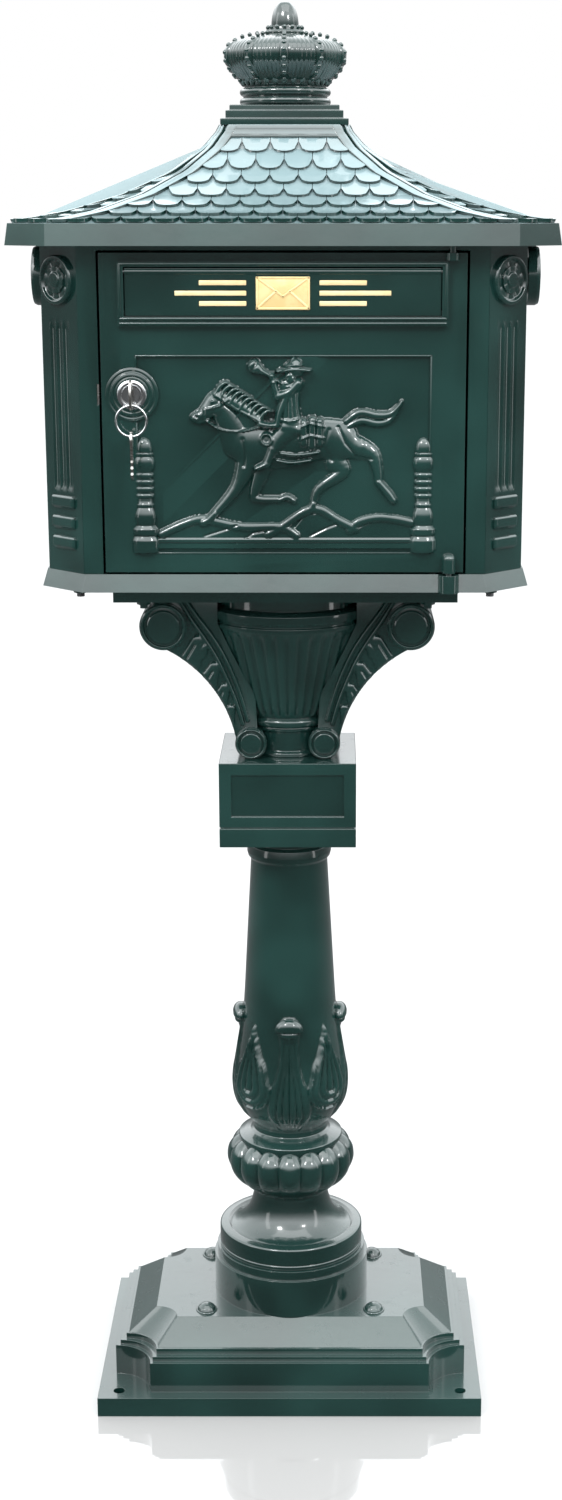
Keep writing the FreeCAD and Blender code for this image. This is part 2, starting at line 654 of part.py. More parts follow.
def corner_pilaster(label, sx, sy):
    """A slanted corner strip with a rosette and three bars on its outer face."""
    x, y, cut_back, panel = d.body_x, d.body_y, d.body_cut, d.panel
    points = [(sx * (x - cut_back), sy * y), (sx * (x - cut_back), sy * (y - panel)),
              (sx * (x - panel), sy * (y - cut_back)), (sx * x, sy * (y - cut_back))]
    if sx * sy < 0:
        points.reverse()
    strip = padded("strip_" + label, "XY_Plane", points, d.tray_top, d.body_top)
    angle = math.degrees(math.atan2(sy, sx))
    middle = (sx * (x - cut_back / 2), sy * (y - cut_back / 2))
    depth = d.corner_rosette_rise
    inward = math.sqrt(0.5)
    root = (middle[0] - sx * inward * panel * 0.3, middle[1] - sy * inward * panel * 0.3)
    rosette = document.addObject("Part::Cylinder", "rosette_" + label)
    bind(rosette, "Radius", d.corner_rosette)
    bind(rosette, "Height", depth)
    put(rosette, (root[0], root[1], d.rosette_z), (-sy, sx, 0), 90)
    bars = []
    for step in range(3):
        bar = document.addObject("Part::Box", "bar_" + label)
        bind(bar, "Length", d.bar_rise)
        bind(bar, "Width", d.bar_width)
        bind(bar, "Height", d.bar_height)
        half = d.bar_width * 0.5 * inward
        put(bar, (root[0] + sy * half, root[1] - sx * half, d.bar_low + d.bar_pitch * step),
            (0, 0, 1), angle)
        bars.append(bar)
    keep(fuse("pilaster_" + label, [strip, rosette] + bars), "corner_pilaster_" + label)


def side_trims(side, word):
    """The big round boss and the leaf ornament screwed on a side panel."""
    wall = side * d.body_x
    way = ((0, 1, 0), 90.0 * side)
    stem = rod("boss_stem_" + word, d.side_rosette * 0.62, d.side_rosette_rise * 0.45,
               (wall, 0, d.rosette_z), way)
    face = rod("boss_face_" + word, d.side_rosette, d.side_rosette_rise * 0.55,
               (wall + side * d.side_rosette_rise * 0.45, 0, d.rosette_z), way)
    keep(fuse("side_boss_" + word, [stem, face]), "side_rosette_" + word)
    middle = (d.ornament_low + d.ornament_high) / 2
    plate = document.addObject("Part::Cylinder", "ornament_" + word)
    bind(plate, "Radius", (d.ornament_high - d.ornament_low) / 2)
    bind(plate, "Height", d.ornament_rise)
    put(plate, (wall, 0, middle), way[0], way[1])
    wing = cone("ornament_wing_" + word, (d.ornament_high - d.ornament_low) / 2,
                d.ornament_rise, d.ornament_y, (wall, 0, middle), ((1, 0, 0), -90.0))
    wing_back = cone("ornament_wing_back_" + word, (d.ornament_high - d.ornament_low) / 2,
                     d.ornament_rise, d.ornament_y, (wall, 0, middle), ((1, 0, 0), 90.0))
    slab_near = wall if side > 0 else wall - d.ornament_rise
    slab = block("ornament_slab_" + word, (slab_near, slab_near + d.ornament_rise),
                 (-d.ornament_y, d.ornament_y), (d.ornament_low, d.ornament_high))
    wings = document.addObject("Part::MultiCommon", "ornament_wings_" + word)
    wings.Shapes = [fuse("ornament_cones_" + word, [wing, wing_back]), slab]
    keep(fuse("side_ornament_" + word + "_whole", [plate, wings]), "side_ornament_" + word)


def clamp_rods():
    rods, nuts = [], []
    low = d.pan_top - d.small_nut_height
    for x, y in corners(d.clamp_x, d.clamp_y):
        rods.append(rod("clamp_rod", d.small_bolt_radius, d.body_top + 9 - low + 3,
                        (x, y, low - 3)))
        nuts.append(small_nut("clamp_nut", x, y, low))
    keep(group("clamp_rod_set", rods), "body_clamp_rods")
    keep(group("clamp_nut_set", nuts), "clamp_rod_nuts")


# ---------------------------------------------------------------- roof

def roof_sections(shrink, low, count=7):
    """Octagons up the hollow sweep of the roof; shrink offsets them for the inner face."""
    sections = []
    power = 2.9
    for step in range(count + 1):
        turn = math.radians(90.0 * step / count)
        across, up = math.cos(turn) ** power, math.sin(turn) ** power
        x = d.roof_x + (d.eave_x - 3 - d.roof_x) * across - shrink
        y = d.roof_y + (d.eave_y - 3 - d.roof_y) * across - shrink
        corner = d.roof_cut + (d.eave_cut - d.roof_cut) * across
        sections.append((low + (d.roof_top - d.eave_top) * up, octagon(x, y, corner)))
    return sections


def roof_shell():
    eave = padded("eave_slab", "XY_Plane", octagon(d.eave_x, d.eave_y, d.eave_cut),
                  d.body_top, d.eave_top)
    crown = lofted("roof_sweep", roof_sections(ground, d.eave_top))
    inner = lofted("roof_room", roof_sections(d.roof_wall, d.eave_top - d.roof_wall))
    gate = padded("roof_gate", "XY_Plane",
                  octagon(d.roof_hole_x, d.roof_hole_y, d.roof_hole_cut),
                  d.body_top, d.roof_top)
    room = document.addObject("Part::MultiCommon", "roof_hollow")
    room.Shapes = [inner, gate]
    throat = padded("roof_throat", "XY_Plane",
                    octagon(d.roof_hole_x, d.roof_hole_y, d.roof_hole_cut),
                    d.body_top, d.eave_top - d.roof_wall)
    holes = [rod("roof_clamp_hole", d.small_bolt_radius, Size(9.0, "9.0"), (x, y, d.body_top))
             for x, y in corners(d.clamp_x, d.clamp_y)]
    holes.append(rod("roof_pin_hole", d.hinge_pin, Size(9.0, "9.0"),
                     (d.hinge_x, -d.body_y - d.hinge_out, d.body_top)))
    holes.append(rod("roof_stud_hole", d.stud_radius + d.bolt_gap, d.roof_wall * 4,
                     (0, 0, d.roof_top - d.roof_wall * 2)))
    keep(cut("roof_shell_cut", fuse("roof_solid", [eave, crown]), [room, throat] + holes),
         "roof_shell")


def roof_cap():
    low = d.roof_top
    slab = block("cap_slab", (-d.cap_x, d.cap_x), (-d.cap_y, d.cap_y), (low, d.cap_top))
    step = block("cap_step_slab", (-d.cap_x + 4, d.cap_x - 4), (-d.cap_y + 2, d.cap_y - 2),
                 (d.cap_top, d.cap_step))
    head = block("cap_head_slab", (-d.cap_x + 7, d.cap_x - 7), (-d.cap_y + 4, d.cap_y - 4),
                 (d.cap_step, d.cap_head))
    hole = rod("cap_stud_hole", d.stud_radius + d.bolt_gap, d.cap_head - low, (0, 0, low))
    keep(cut("roof_cap_cut", fuse("roof_cap_whole", [slab, step, head]), [hole]), "roof_cap")


def crown_finial():
    low = d.cap_head
    radius = d.crown_radius
    half = d.crown_half
    keep(turned("crown_body", [
        (d.stud_radius, low), (d.finial_ring, low), (d.finial_ring, low + 6),
        (d.finial_ring - 2.5, low + 7), (d.finial_ring - 2.8, d.crown_foot - 3),
        (radius - 14, d.crown_foot),
        (radius - d.crown_rise, d.crown_belly - half, bulge(d.crown_rise, half)),
        (radius - d.crown_rise, d.crown_belly + half), (d.knob_flange + 14, d.crown_shoulder),
        (d.knob_flange, d.crown_shoulder + 1), (d.knob_flange, d.knob_foot),
        (d.knob_radius, d.knob_foot + 3, 15), (d.knob_radius * 0.5, d.finial_top - 2),
        (ground, d.finial_top), (ground, d.knob_foot), (ground, d.crown_foot + 12),
        (d.stud_radius, d.crown_foot + 12)]), "crown_finial")


def finial_stud():
    low = d.roof_top - d.roof_wall - d.small_nut_height - 5
    keep(rod("stud_bar", d.stud_radius, d.crown_foot + 12 - low, (0, 0, low)), "finial_stud")
    nut_low = d.roof_top - d.roof_wall - d.small_nut_height
    body = hexagon("stud_nut_body", d.stud_radius * 2, d.small_nut_height, (0, 0, nut_low))
    bore = rod("stud_nut_bore", d.stud_radius, d.small_nut_height, (0, 0, nut_low))
    keep(cut("stud_nut_cut", body, [bore]), "finial_nut")


# ---------------------------------------------------------------- door

front = -d.body_y - d.door_face
door_back = front + d.door_sheet
door_x = d.opening_x - d.door_gap
door_low = d.tray_top + d.door_lift
door_high = d.body_top - d.header - d.door_lift
hinge_y = -d.body_y - d.hinge_out


def door_panel():
    sheet_body = block("door_sheet_block", (-door_x, door_x), (front, door_back),
                       (door_low, door_high))
    slot = block("door_slot", (-d.slot_x, d.slot_x), (front, door_back),
                 (d.slot_low, d.slot_high))
    recess = block("door_recess_cut", (-d.relief_x, d.relief_x), (front, front + d.door_recess),
                   (d.relief_low, d.relief_high))
    hole = rod("door_lock_hole", d.barrel_radius + d.running_gap, d.door_sheet * 3,
               (d.lock_x, front - d.door_sheet, d.lock_z), ALONG_Y)
    low_barrel = rod("door_low_barrel", d.hinge_barrel, d.low_barrel,
                     (d.hinge_x, hinge_y, door_low))
    high_barrel = rod("door_high_barrel", d.hinge_barrel, d.high_barrel,
                      (d.hinge_x, hinge_y, door_high - d.high_barrel))
    bore = d.hinge_pin + d.running_gap
    low_bore = rod("door_low_bore", bore, d.low_barrel - 2, (d.hinge_x, hinge_y, door_low))
    high_bore = rod("door_high_bore", bore, d.high_barrel, (d.hinge_x, hinge_y,
                                                            door_high - d.high_barrel))
    whole = fuse("door_whole", [cut("door_cut_sheet", sheet_body, [slot, recess]), low_barrel,
                                high_barrel])
    keep(cut("door_panel_cut", whole, [hole, low_bore, high_bore]), "door_panel")


def hinge_pins():
    low = d.pan_top + 3
    keep(rod("low_pin", d.hinge_pin, door_low + d.low_barrel - 3 - low,
             (d.hinge_x, hinge_y, low)), "hinge_pin_lower")
    keep(rod("high_pin", d.hinge_pin, d.body_top + 9 - door_high + d.high_barrel,
             (d.hinge_x, hinge_y, door_high - d.high_barrel)), "hinge_pin_upper")


def reliefs():
    """The cast picture on the door: a rider over low hills between two turned posts."""
    floor_y = d.body_y + d.door_face - d.door_recess
    rise = floor_y + d.relief_rise
    hills = padded("hill_sheet", "XZ_Plane", [
        (-93, d.relief_low + 1), (93, d.relief_low + 1), (93, d.relief_low + 9),
        (70, d.hill_top - 8), (30, d.hill_top), (0, d.hill_top - 9), (-28, d.hill_top + 1),
        (-60, d.hill_top - 10), (-93, d.relief_low + 8)], floor_y, rise - 1)
    keep(hills, "relief_hills")
    base = d.hill_top
    rider = padded("rider_sheet", "XZ_Plane", [
        (-52, base + 2), (-70, base + 5), (-66, base + 9), (-34, base + 26), (-38, base + 52),
        (-62, base + 66), (-72, base + 72), (-52, base + 98), (-30, base + 84),
        (-12, base + 74), (-6, base + 96), (-26, base + 108), (-8, base + 112), (2, base + 122),
        (14, base + 118), (16, base + 96), (24, base + 78), (44, base + 78), (62, base + 90),
        (88, base + 92), (66, base + 76), (52, base + 62), (76, base + 24), (66, base + 20),
        (34, base + 46), (14, base + 6), (4, base + 9), (18, base + 46), (-12, base + 38),
        (-16, base + 20), (-8, base + 16), (-26, base + 14), (-24, base + 34)],
        floor_y, rise)
    keep(rider, "relief_rider")
    for side, word in ((-1, "left"), (1, "right")):
        middle = side * d.bollard_x
        near = middle - d.bollard_half
        far = middle + d.bollard_half
        inside = (near, d.relief_x) if side > 0 else (-d.relief_x, far)
        post = block("bollard_post_" + word, inside, (-rise, -floor_y),
                     (d.relief_low, d.bollard_top))
        keep(post, "relief_bollard_" + word)


def slot_frame():
    low, high = d.body_y + d.door_face, d.body_y + d.door_face + d.frame_rise
    outer = block("slot_frame_block", (-d.frame_x, d.frame_x), (-high, -low),
                  (d.frame_low, d.frame_high))
    inner = block("slot_frame_room", (-d.frame_x + d.frame_side, d.frame_x - d.frame_side),
                  (-high, -low), (d.frame_low + d.frame_foot, d.frame_high - d.frame_head))
    bore = rod("slot_frame_bore", d.flap_pin + d.running_gap, d.frame_x * 2 - 4,
               (-d.frame_x + 2, flap_axis_y(), d.flap_axis), ALONG_X)
    keep(cut("slot_frame_cut", outer, [inner, bore]), "slot_frame")


def flap_back():
    return front - d.seat_gap


def flap_axis_y():
    return flap_back() - d.flap_sheet / 2


def letter_flap():
    back = flap_back()
    x = d.frame_x - d.frame_side - d.flap_gap
    sheet_body = block("flap_block", (-x, x), (back - d.flap_sheet, back),
                       (d.frame_low + d.frame_foot + d.flap_gap,
                        d.frame_high - d.frame_head - d.flap_gap * 1.7))
    knuckle = rod("flap_knuckle_bar", d.flap_knuckle, x * 2, (-x, flap_axis_y(), d.flap_axis),
                  ALONG_X)
    bore = rod("flap_bore", d.flap_pin, x * 2, (-x, flap_axis_y(), d.flap_axis), ALONG_X)
    keep(cut("letter_flap_cut", fuse("flap_whole", [sheet_body, knuckle]), [bore]),
         "letter_flap")
    keep(rod("flap_pin_bar", d.flap_pin, d.frame_x * 2 - 5,
             (-d.frame_x + 2.5, flap_axis_y(), d.flap_axis), ALONG_X), "flap_pin")
    face = -(back - d.flap_sheet)
    low, high, half = d.emblem_low, d.emblem_high, d.emblem_half
    middle = (low + high) / 2
    pieces = [padded("envelope_sheet", "XZ_Plane", [
        (-20, low), (20, low), (20, high), (-20, high)], face, face + d.emblem_rise)]
    for side, word in ((-1, "left"), (1, "right")):
        for row, up in enumerate((-7.5, 0, 7.5)):
            reach = half - abs(up) * 2.4
            points = [(side * 27, middle + up - 1.8), (side * reach, middle + up - 1.8),
                      (side * reach, middle + up + 1.8), (side * 27, middle + up + 1.8)]
            if side < 0:
                points.reverse()
            pieces.append(padded("emblem_bar_%s_%d" % (word, row), "XZ_Plane", points, face,
                                 face + d.emblem_rise))
    keep(group("emblem_set", pieces), "flap_emblem")


# ---------------------------------------------------------------- lock and keys

def lock():
    x, z = d.lock_x, d.lock_z
    face = front - d.bezel_rise
    rose_face = front - d.rose_rise
    back_end = face + d.barrel_length
    rose = cone("rose_disc", d.rose_radius * 0.86, d.rose_radius, d.rose_rise,
                (x, rose_face, z), ALONG_Y)
    rose_hole = rod("rose_hole", d.barrel_radius + d.running_gap, d.rose_rise,
                    (x, rose_face, z), ALONG_Y)
    keep(cut("rose_cut", rose, [rose_hole]), "lock_rose")
    barrel = rod("barrel_bar", d.barrel_radius, d.barrel_length, (x, face, z), ALONG_Y)
    bezel = rod("bezel_disc", d.bezel_radius, d.bezel_rise - d.rose_rise, (x, face, z), ALONG_Y)
    bore = rod("barrel_bore", d.plug_radius + d.running_gap, d.barrel_length, (x, face, z),
               ALONG_Y)
    keep(cut("barrel_cut", fuse("barrel_whole", [barrel, bezel]), [bore]), "lock_barrel")
    nut = rod("lock_nut_disc", d.lock_nut_radius, d.lock_nut_height, (x, door_back, z), ALONG_Y)
    nut_hole = rod("lock_nut_hole", d.barrel_radius, d.lock_nut_height, (x, door_back, z),
                   ALONG_Y)
    keep(cut("lock_nut_cut", nut, [nut_hole]), "lock_nut")
    gap = d.seat_gap
    plug = rod("plug_bar", d.plug_radius, d.barrel_length + gap * 2, (x, face - gap, z), ALONG_Y)
    way = block("keyway_cut", (x - d.keyway / 2, x + d.keyway / 2),
                (face - gap, face + d.key_blade), (z - d.keyway_half, z + d.keyway_half))
    screw_hole = rod("plug_screw_hole", d.small_bolt_radius / 2, Size(3.0, "3.0"),
                     (x, back_end + gap - 3, z), ALONG_Y)
    keep(cut("plug_cut", plug, [way, screw_hole]), "lock_plug")
    cam_front = back_end + gap
    cam = block("cam_sheet_block", (x - d.cam_half, x + d.cam_half),
                (cam_front, cam_front + d.cam_sheet), (z - d.cam_half, z + d.cam_length))
    cam_hole = rod("cam_hole", d.small_bolt_radius / 2, d.cam_sheet, (x, cam_front, z), ALONG_Y)
    keep(cut("cam_cut", cam, [cam_hole]), "lock_cam")
    head = rod("cam_screw_head", d.small_bolt_radius + 1, d.cam_sheet,
               (x, cam_front + d.cam_sheet, z), ALONG_Y)
    shank = rod("cam_screw_shank", d.small_bolt_radius / 2, d.cam_sheet + 3,
                (x, cam_front - 3, z), ALONG_Y)
    keep(fuse("cam_screw_whole", [head, shank]), "cam_screw")
    edge = -d.opening_x
    stem = block("strike_stem", (edge - d.strike_sheet, edge), (-d.body_y, cam_front - 0.5),
                 (z - d.strike_half, z + d.strike_half))
    wing = block("strike_wing", (edge - d.strike_sheet - 9, edge),
                 (-d.body_y + d.panel, -d.body_y + d.panel + d.strike_sheet),
                 (z - d.strike_half, z + d.strike_half))
    keep(fuse("strike_whole", [stem, wing]), "strike_plate")


def key(name, label, bow_half, hole_at, at, axis, angle):
    """A flat key: its blade runs along local +Y from the bow's edge at the origin."""
    half = d.key_sheet / 2
    bow = block(name + "_bow", (-half, half), (-d.bow_long, ground), (-bow_half, bow_half))
    blade = block(name + "_blade", (-half, half), (ground, d.key_blade),
                  (-d.key_blade_half, d.key_blade_half))
    hole = rod(name + "_hole", d.bow_hole, d.key_sheet, (-half, hole_at[0], hole_at[1]),
               ALONG_X)
    whole = cut(name + "_cut", fuse(name + "_whole", [bow, blade]), [hole])
    return keep(put(whole, at, axis, angle), label)


def keys():
    face = front - d.bezel_rise
    bow_face = face - d.seat_gap - 0.5
    inset = d.bow_edge + d.bow_hole
    key("key", "key", d.bow_half, (-d.bow_long / 2, -d.bow_half + inset),
        (d.lock_x, bow_face, d.lock_z), (0, 0, 1), 0)
    ring_y = bow_face - d.bow_long / 2
    hole_low = d.lock_z - d.bow_half + d.bow_edge
    ring_z = hole_low + d.ring_play + d.ring_wire - d.ring_radius
    ring = document.addObject("Part::Torus", "ring_loop")
    bind(ring, "Radius1", d.ring_radius)
    bind(ring, "Radius2", d.ring_wire)
    keep(put(ring, (d.lock_x, ring_y, ring_z), (1, 0, 0), 90), "key_ring")
    wire_low = ring_z - d.ring_radius
    bow_top = wire_low + d.ring_wire + d.ring_play + d.bow_edge
    key("spare", "spare_key", d.spare_bow_half, (-d.bow_long + inset, ground),
        (d.lock_x, ring_y, bow_top - d.bow_long), (1, 0, 0), -90)


foot_casting()
cap_bolts()
clamp_plate()
column_foot()
lobed_collar()
leaf_column()
capital_plinth()
capital_cup()
scroll_bracket(1, "right")
scroll_bracket(-1, "left")
tie_rod()
mount_pan()
bracket_screws()
floor_tray()
pan_bolts()
front_frame()
flat_panels()
for label, sx, sy in (("front_left", -1, -1), ("front_right", 1, -1), ("back_left", -1, 1),
                      ("back_right", 1, 1)):
    corner_pilaster(label, sx, sy)
side_trims(-1, "left")
side_trims(1, "right")
clamp_rods()
roof_shell()
roof_cap()
crown_finial()
finial_stud()
door_panel()
hinge_pins()
reliefs()
slot_frame()
letter_flap()
lock()
keys()

document.recompute()

faults = []
for thing in document.Objects:
    if "Invalid" in thing.State or "Error" in thing.State:
        faults.append(thing.Label + ": " + ", ".join(thing.State))
for thing in sub_parts:
    if thing.Shape.isNull() or not thing.Shape.isValid():
        faults.append(thing.Label + ": shape")
if faults:
    raise RuntimeError("failed objects: " + "; ".join(faults))

os.makedirs("parts", exist_ok=True)
for thing in sub_parts:
    thing.Shape.exportStep("parts/" + thing.Label + ".step")
    box = thing.Shape.BoundBox
    print("%-28s %2d solids  %8.0f mm3  x %7.1f %7.1f  y %7.1f %7.1f  z %7.1f %7.1f" % (
        thing.Label, len(thing.Shape.Solids), thing.Shape.Volume, box.XMin, box.XMax, box.YMin,
        box.YMax, box.ZMin, box.ZMax))
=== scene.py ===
import json
import math

import bmesh
import bpy
import numpy as np
from mathutils import Matrix, Vector


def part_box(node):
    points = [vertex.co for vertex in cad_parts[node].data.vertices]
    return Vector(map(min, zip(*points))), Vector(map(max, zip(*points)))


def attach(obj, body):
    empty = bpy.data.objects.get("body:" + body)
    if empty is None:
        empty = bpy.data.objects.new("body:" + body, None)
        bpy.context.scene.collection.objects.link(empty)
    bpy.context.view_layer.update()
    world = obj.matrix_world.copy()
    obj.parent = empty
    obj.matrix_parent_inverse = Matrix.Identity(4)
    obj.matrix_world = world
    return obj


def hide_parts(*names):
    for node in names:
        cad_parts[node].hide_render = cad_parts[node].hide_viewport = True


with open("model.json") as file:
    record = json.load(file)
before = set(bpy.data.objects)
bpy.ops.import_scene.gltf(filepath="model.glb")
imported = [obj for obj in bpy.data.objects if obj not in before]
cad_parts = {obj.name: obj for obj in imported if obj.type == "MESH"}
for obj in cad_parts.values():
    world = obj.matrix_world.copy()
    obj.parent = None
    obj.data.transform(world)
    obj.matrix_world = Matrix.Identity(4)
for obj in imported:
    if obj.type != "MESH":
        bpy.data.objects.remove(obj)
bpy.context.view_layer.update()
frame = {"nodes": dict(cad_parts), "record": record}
nodes = frame["nodes"]
scene = bpy.context.scene
scene.view_settings.view_transform = "Standard"
fullTurn = 2 * math.pi
print("frame loaded:", len(nodes), "nodes")


class Wire:
    def __init__(self, kit, socket):
        self.kit = kit
        self.socket = socket

    def join(self, operation, first, second):
        return self.kit.node("ShaderNodeMath", {"operation": operation}, {0: first, 1: second})

    def __add__(self, other):
        return self.join("ADD", self, other)

    def __radd__(self, other):
        return self.join("ADD", other, self)

    def __sub__(self, other):
        return self.join("SUBTRACT", self, other)

    def __rsub__(self, other):
        return self.join("SUBTRACT", other, self)

    def __mul__(self, other):
        return self.join("MULTIPLY", self, other)

    def __rmul__(self, other):
        return self.join("MULTIPLY", other, self)


class NodeKit:
    def __init__(self, tree):
        self.tree = tree

    def feed(self, socket, value):
        if isinstance(value, Wire):
            self.tree.links.new(value.socket, socket)
        else:
            socket.default_value = value

    def node(self, kind, settings=None, sockets=None, output=0):
        made = self.tree.nodes.new(kind)
        for name, value in (settings or {}).items():
            if name == "stops":
                ramp = made.color_ramp
                while len(ramp.elements) < len(value):
                    ramp.elements.new(0.5)
                for element, (place, colour) in zip(ramp.elements, value):
                    element.position = place
                    element.color = (*colour, 1)
            else:
                setattr(made, name, value)
        for name, value in (sockets or {}).items():
            self.feed(made.inputs[name], value)
        return None if output is None else Wire(self, made.outputs[output])


class Finish(NodeKit):
    def __init__(self, name, **constants):
        self.material = bpy.data.materials.new(name)
        self.material.use_nodes = True
        super().__init__(self.material.node_tree)
        self.shader = self.tree.nodes["Principled BSDF"]
        self.set(**constants)

    def set(self, **values):
        for word, value in values.items():
            name = "".join(" " + c if c.isupper() else c for c in word).strip().title()
            self.feed(self.shader.inputs[name.replace("Ior", "IOR")], value)

    def place(self, scale=(1, 1, 1), turn=(0, 0, 0)):
        where = self.node("ShaderNodeTexCoord", output="Object")
        return self.node("ShaderNodeMapping", None,
                         {"Vector": where, "Scale": scale, "Rotation": turn})

    def cloud(self, scale, detail=3.0, roughness=0.55, where=None):
        return self.node("ShaderNodeTexNoise", None,
                         {"Vector": where or self.place(), "Scale": scale, "Detail": detail,
                          "Roughness": roughness})

    def spread(self, mask, low, high):
        return self.node("ShaderNodeMapRange", {"interpolation_type": "SMOOTHSTEP"},
                         {"Value": mask, "From Min": low, "From Max": high})

    def tint(self, mask, first, second):
        return self.node("ShaderNodeMix", {"data_type": "RGBA"},
                         {0: mask, 6: first if isinstance(first, Wire) else (*first, 1),
                          7: second if isinstance(second, Wire) else (*second, 1)}, output=2)

    def relief(self, height, distance, strength=1.0, normal=None):
        sockets = {"Height": height, "Distance": distance, "Strength": strength}
        if normal:
            sockets["Normal"] = normal
        return self.node("ShaderNodeBump", None, sockets)


# Enamel: colour, painted shade in hollow corners, a painted highlight on sharp edges, a painted sky
# sheen on faces turned up, and the castings' waviness.
enamel = {"deep": (0.0008, 0.0050, 0.0041), "body": (0.0030, 0.0150, 0.0126),
          "thin": (0.009, 0.036, 0.031), "film": (0.014, 0.038, 0.034),
          "roofSheen": (0.26, 0.365, 0.385), "ridge": 0.45, "hollow": 0.35, "gloss": 0.16,
          "coat": 0.85, "waveScale": 26.0, "waveHeight": 0.00035, "peelScale": 140.0,
          "peelHeight": 0.00008}


def greenEnamel(name, film, strength):
    paint = Finish(name, CoatRoughness=0.035, CoatIor=1.6, Ior=1.5)
    edge = paint.node("ShaderNodeNewGeometry", output="Pointiness")
    hollow = 1 - paint.spread(edge, 0.42, 0.5)
    ridge = paint.spread(edge, 0.505, 0.6)
    wide = paint.cloud(9.0, 2.0)
    fine = paint.cloud(enamel["peelScale"], 3.0, 0.6)
    colour = paint.tint(paint.spread(wide, 0.35, 0.7), enamel["body"], enamel["thin"])
    # painted highlight: sharp edges are lightened towards the thin colour
    colour = paint.tint(ridge * enamel["ridge"], colour, enamel["thin"])
    # painted shade: hollow corners are darkened towards the deep colour
    colour = paint.tint(hollow * enamel["hollow"], colour, enamel["deep"])
    dust = paint.spread(paint.cloud(60.0, 6.0, 0.7), 0.55, 0.8)
    # a painted sky sheen: faces turned up are paled towards the film colour, mottled by the dust
    # noise
    slope = paint.node("ShaderNodeNewGeometry", output="Normal")
    up = paint.node("ShaderNodeSeparateXYZ", None, {"Vector": slope}, "Z")
    skySheen = paint.spread(up, 0.25, 0.8) * (0.75 + dust * 0.25) * strength
    colour = paint.tint(skySheen, colour, film)
    swell = paint.relief(paint.cloud(enamel["waveScale"], 2.0), enamel["waveHeight"])
    peel = paint.relief(fine, enamel["peelHeight"], 1.0, swell)
    paint.set(BaseColor=colour, Roughness=enamel["gloss"] + dust * 0.12 + skySheen * 0.2,
              CoatWeight=enamel["coat"] - dust * 0.15, Normal=peel)
    return paint.material


gold = {"paint": (0.80, 0.52, 0.16), "bright": (0.88, 0.64, 0.27), "edge": (0.95, 0.80, 0.50),
        "metal": 0.35}


def goldPaint():
    paint = Finish("goldPaint", CoatRoughness=0.12, Ior=1.5)
    patch = paint.spread(paint.cloud(70.0, 4.0, 0.6), 0.4, 0.65)
    edge = paint.node("ShaderNodeNewGeometry", output="Pointiness")
    colour = paint.tint(patch, gold["paint"], gold["bright"])
    # painted highlight: sharp edges are lightened towards the edge colour
    colour = paint.tint(paint.spread(edge, 0.5, 0.62) * 0.7, colour, gold["edge"])
    paint.set(BaseColor=colour, Roughness=0.34 + patch * 0.1, Metallic=gold["metal"],
              CoatWeight=0.2 + patch * 0.1, Normal=paint.relief(paint.cloud(420.0), 0.00006))
    return paint.material


def plainMetal(name, base, scratched, roughness, stretch, grain):
    metal = Finish(name, Ior=2.0)
    lines = metal.cloud(grain, 4.0, 0.65, metal.place(stretch))
    wear = metal.spread(metal.cloud(45.0, 5.0, 0.6), 0.42, 0.68)
    metal.set(BaseColor=metal.tint(wear, base, scratched), Metallic=1.0,
              Roughness=roughness + wear * 0.08 + metal.spread(lines, 0.45, 0.6) * 0.05,
              Normal=metal.relief(lines, 0.00003))
    return metal.material


paving = {"near": ((0.335, 0.33, 0.325), (0.345, 0.34, 0.335)), "far": (0.47, 0.46, 0.455),
          "glossEnds": (0.35, 0.9)}


def pavingFinish():
    # glossy only close to the part, so that its foot is faintly mirrored
    ground = Finish("palePaper", CoatIor=2.2, CoatRoughness=0.03, Ior=1.05)
    away = ground.node("ShaderNodeVectorMath", {"operation": "LENGTH"},
                       {0: ground.place()}, "Value")
    far = ground.spread(away, *paving["glossEnds"])
    near = ground.tint(ground.spread(ground.cloud(1.4), 0.3, 0.7), *paving["near"])
    ground.set(BaseColor=ground.tint(far, near, paving["far"]), Roughness=0.5,
               CoatWeight=1 - far)
    return ground.material


# slot: the finish's name, its colour, its scratched colour, roughness, grain's stretch and scale
metals = {
    "chrome_trim": ("chromePlate", (0.80, 0.81, 0.82), (0.70, 0.71, 0.72), 0.06, (1, 1, 1), 300.0),
    "nickel_steel": ("nickelPlate", (0.60, 0.58, 0.55), (0.48, 0.46, 0.43), 0.2, (1, 1, 14),
                     220.0),
    "zinc_steel": ("zincPlate", (0.30, 0.31, 0.32), (0.22, 0.22, 0.22), 0.38, (1, 1, 6), 180.0)}
# the castings take a faint painted sky sheen (the film colour) on faces turned up
finishes = {"green_casting": greenEnamel("greenEnamel", enamel["film"], 0.6),
            "gold_paint": goldPaint()}
for slot, values in metals.items():
    finishes[slot] = plainMetal(*values)
# the roof takes a full, paler painted sky sheen on its faces turned up
roofFinish = greenEnamel("roofSheenEnamel", enamel["roofSheen"], 1.0)
print("materials ready")


# Mesh helpers. Shapes are worked in millimetres and scaled to metres when they are finished.
def millimetres(node):
    low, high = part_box(node)
    return Vector(low) * 1000, Vector(high) * 1000


def finishPiece(name, shape, body, slot, replaced=(), crease=38, merge=0.004, outward=True,
                even=False):
    if merge:
        bmesh.ops.remove_doubles(shape, verts=shape.verts, dist=merge)
    if outward:
        bmesh.ops.recalc_face_normals(shape, faces=shape.faces)
    bmesh.ops.scale(shape, vec=(0.001, 0.001, 0.001), verts=shape.verts)
    mesh = bpy.data.meshes.new(name)
    shape.to_mesh(mesh)
    shape.free()
    mesh.shade_smooth()
    mesh.set_sharp_from_angle(angle=math.radians(crease))
    piece = bpy.data.objects.new(name, mesh)
    scene.collection.objects.link(piece)
    mesh.materials.append(finishes[slot])
    if even:
        balance = piece.modifiers.new("evenNormals", "WEIGHTED_NORMAL")
        balance.keep_sharp = True
    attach(piece, body)
    if replaced:
        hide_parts(*replaced)
    return piece


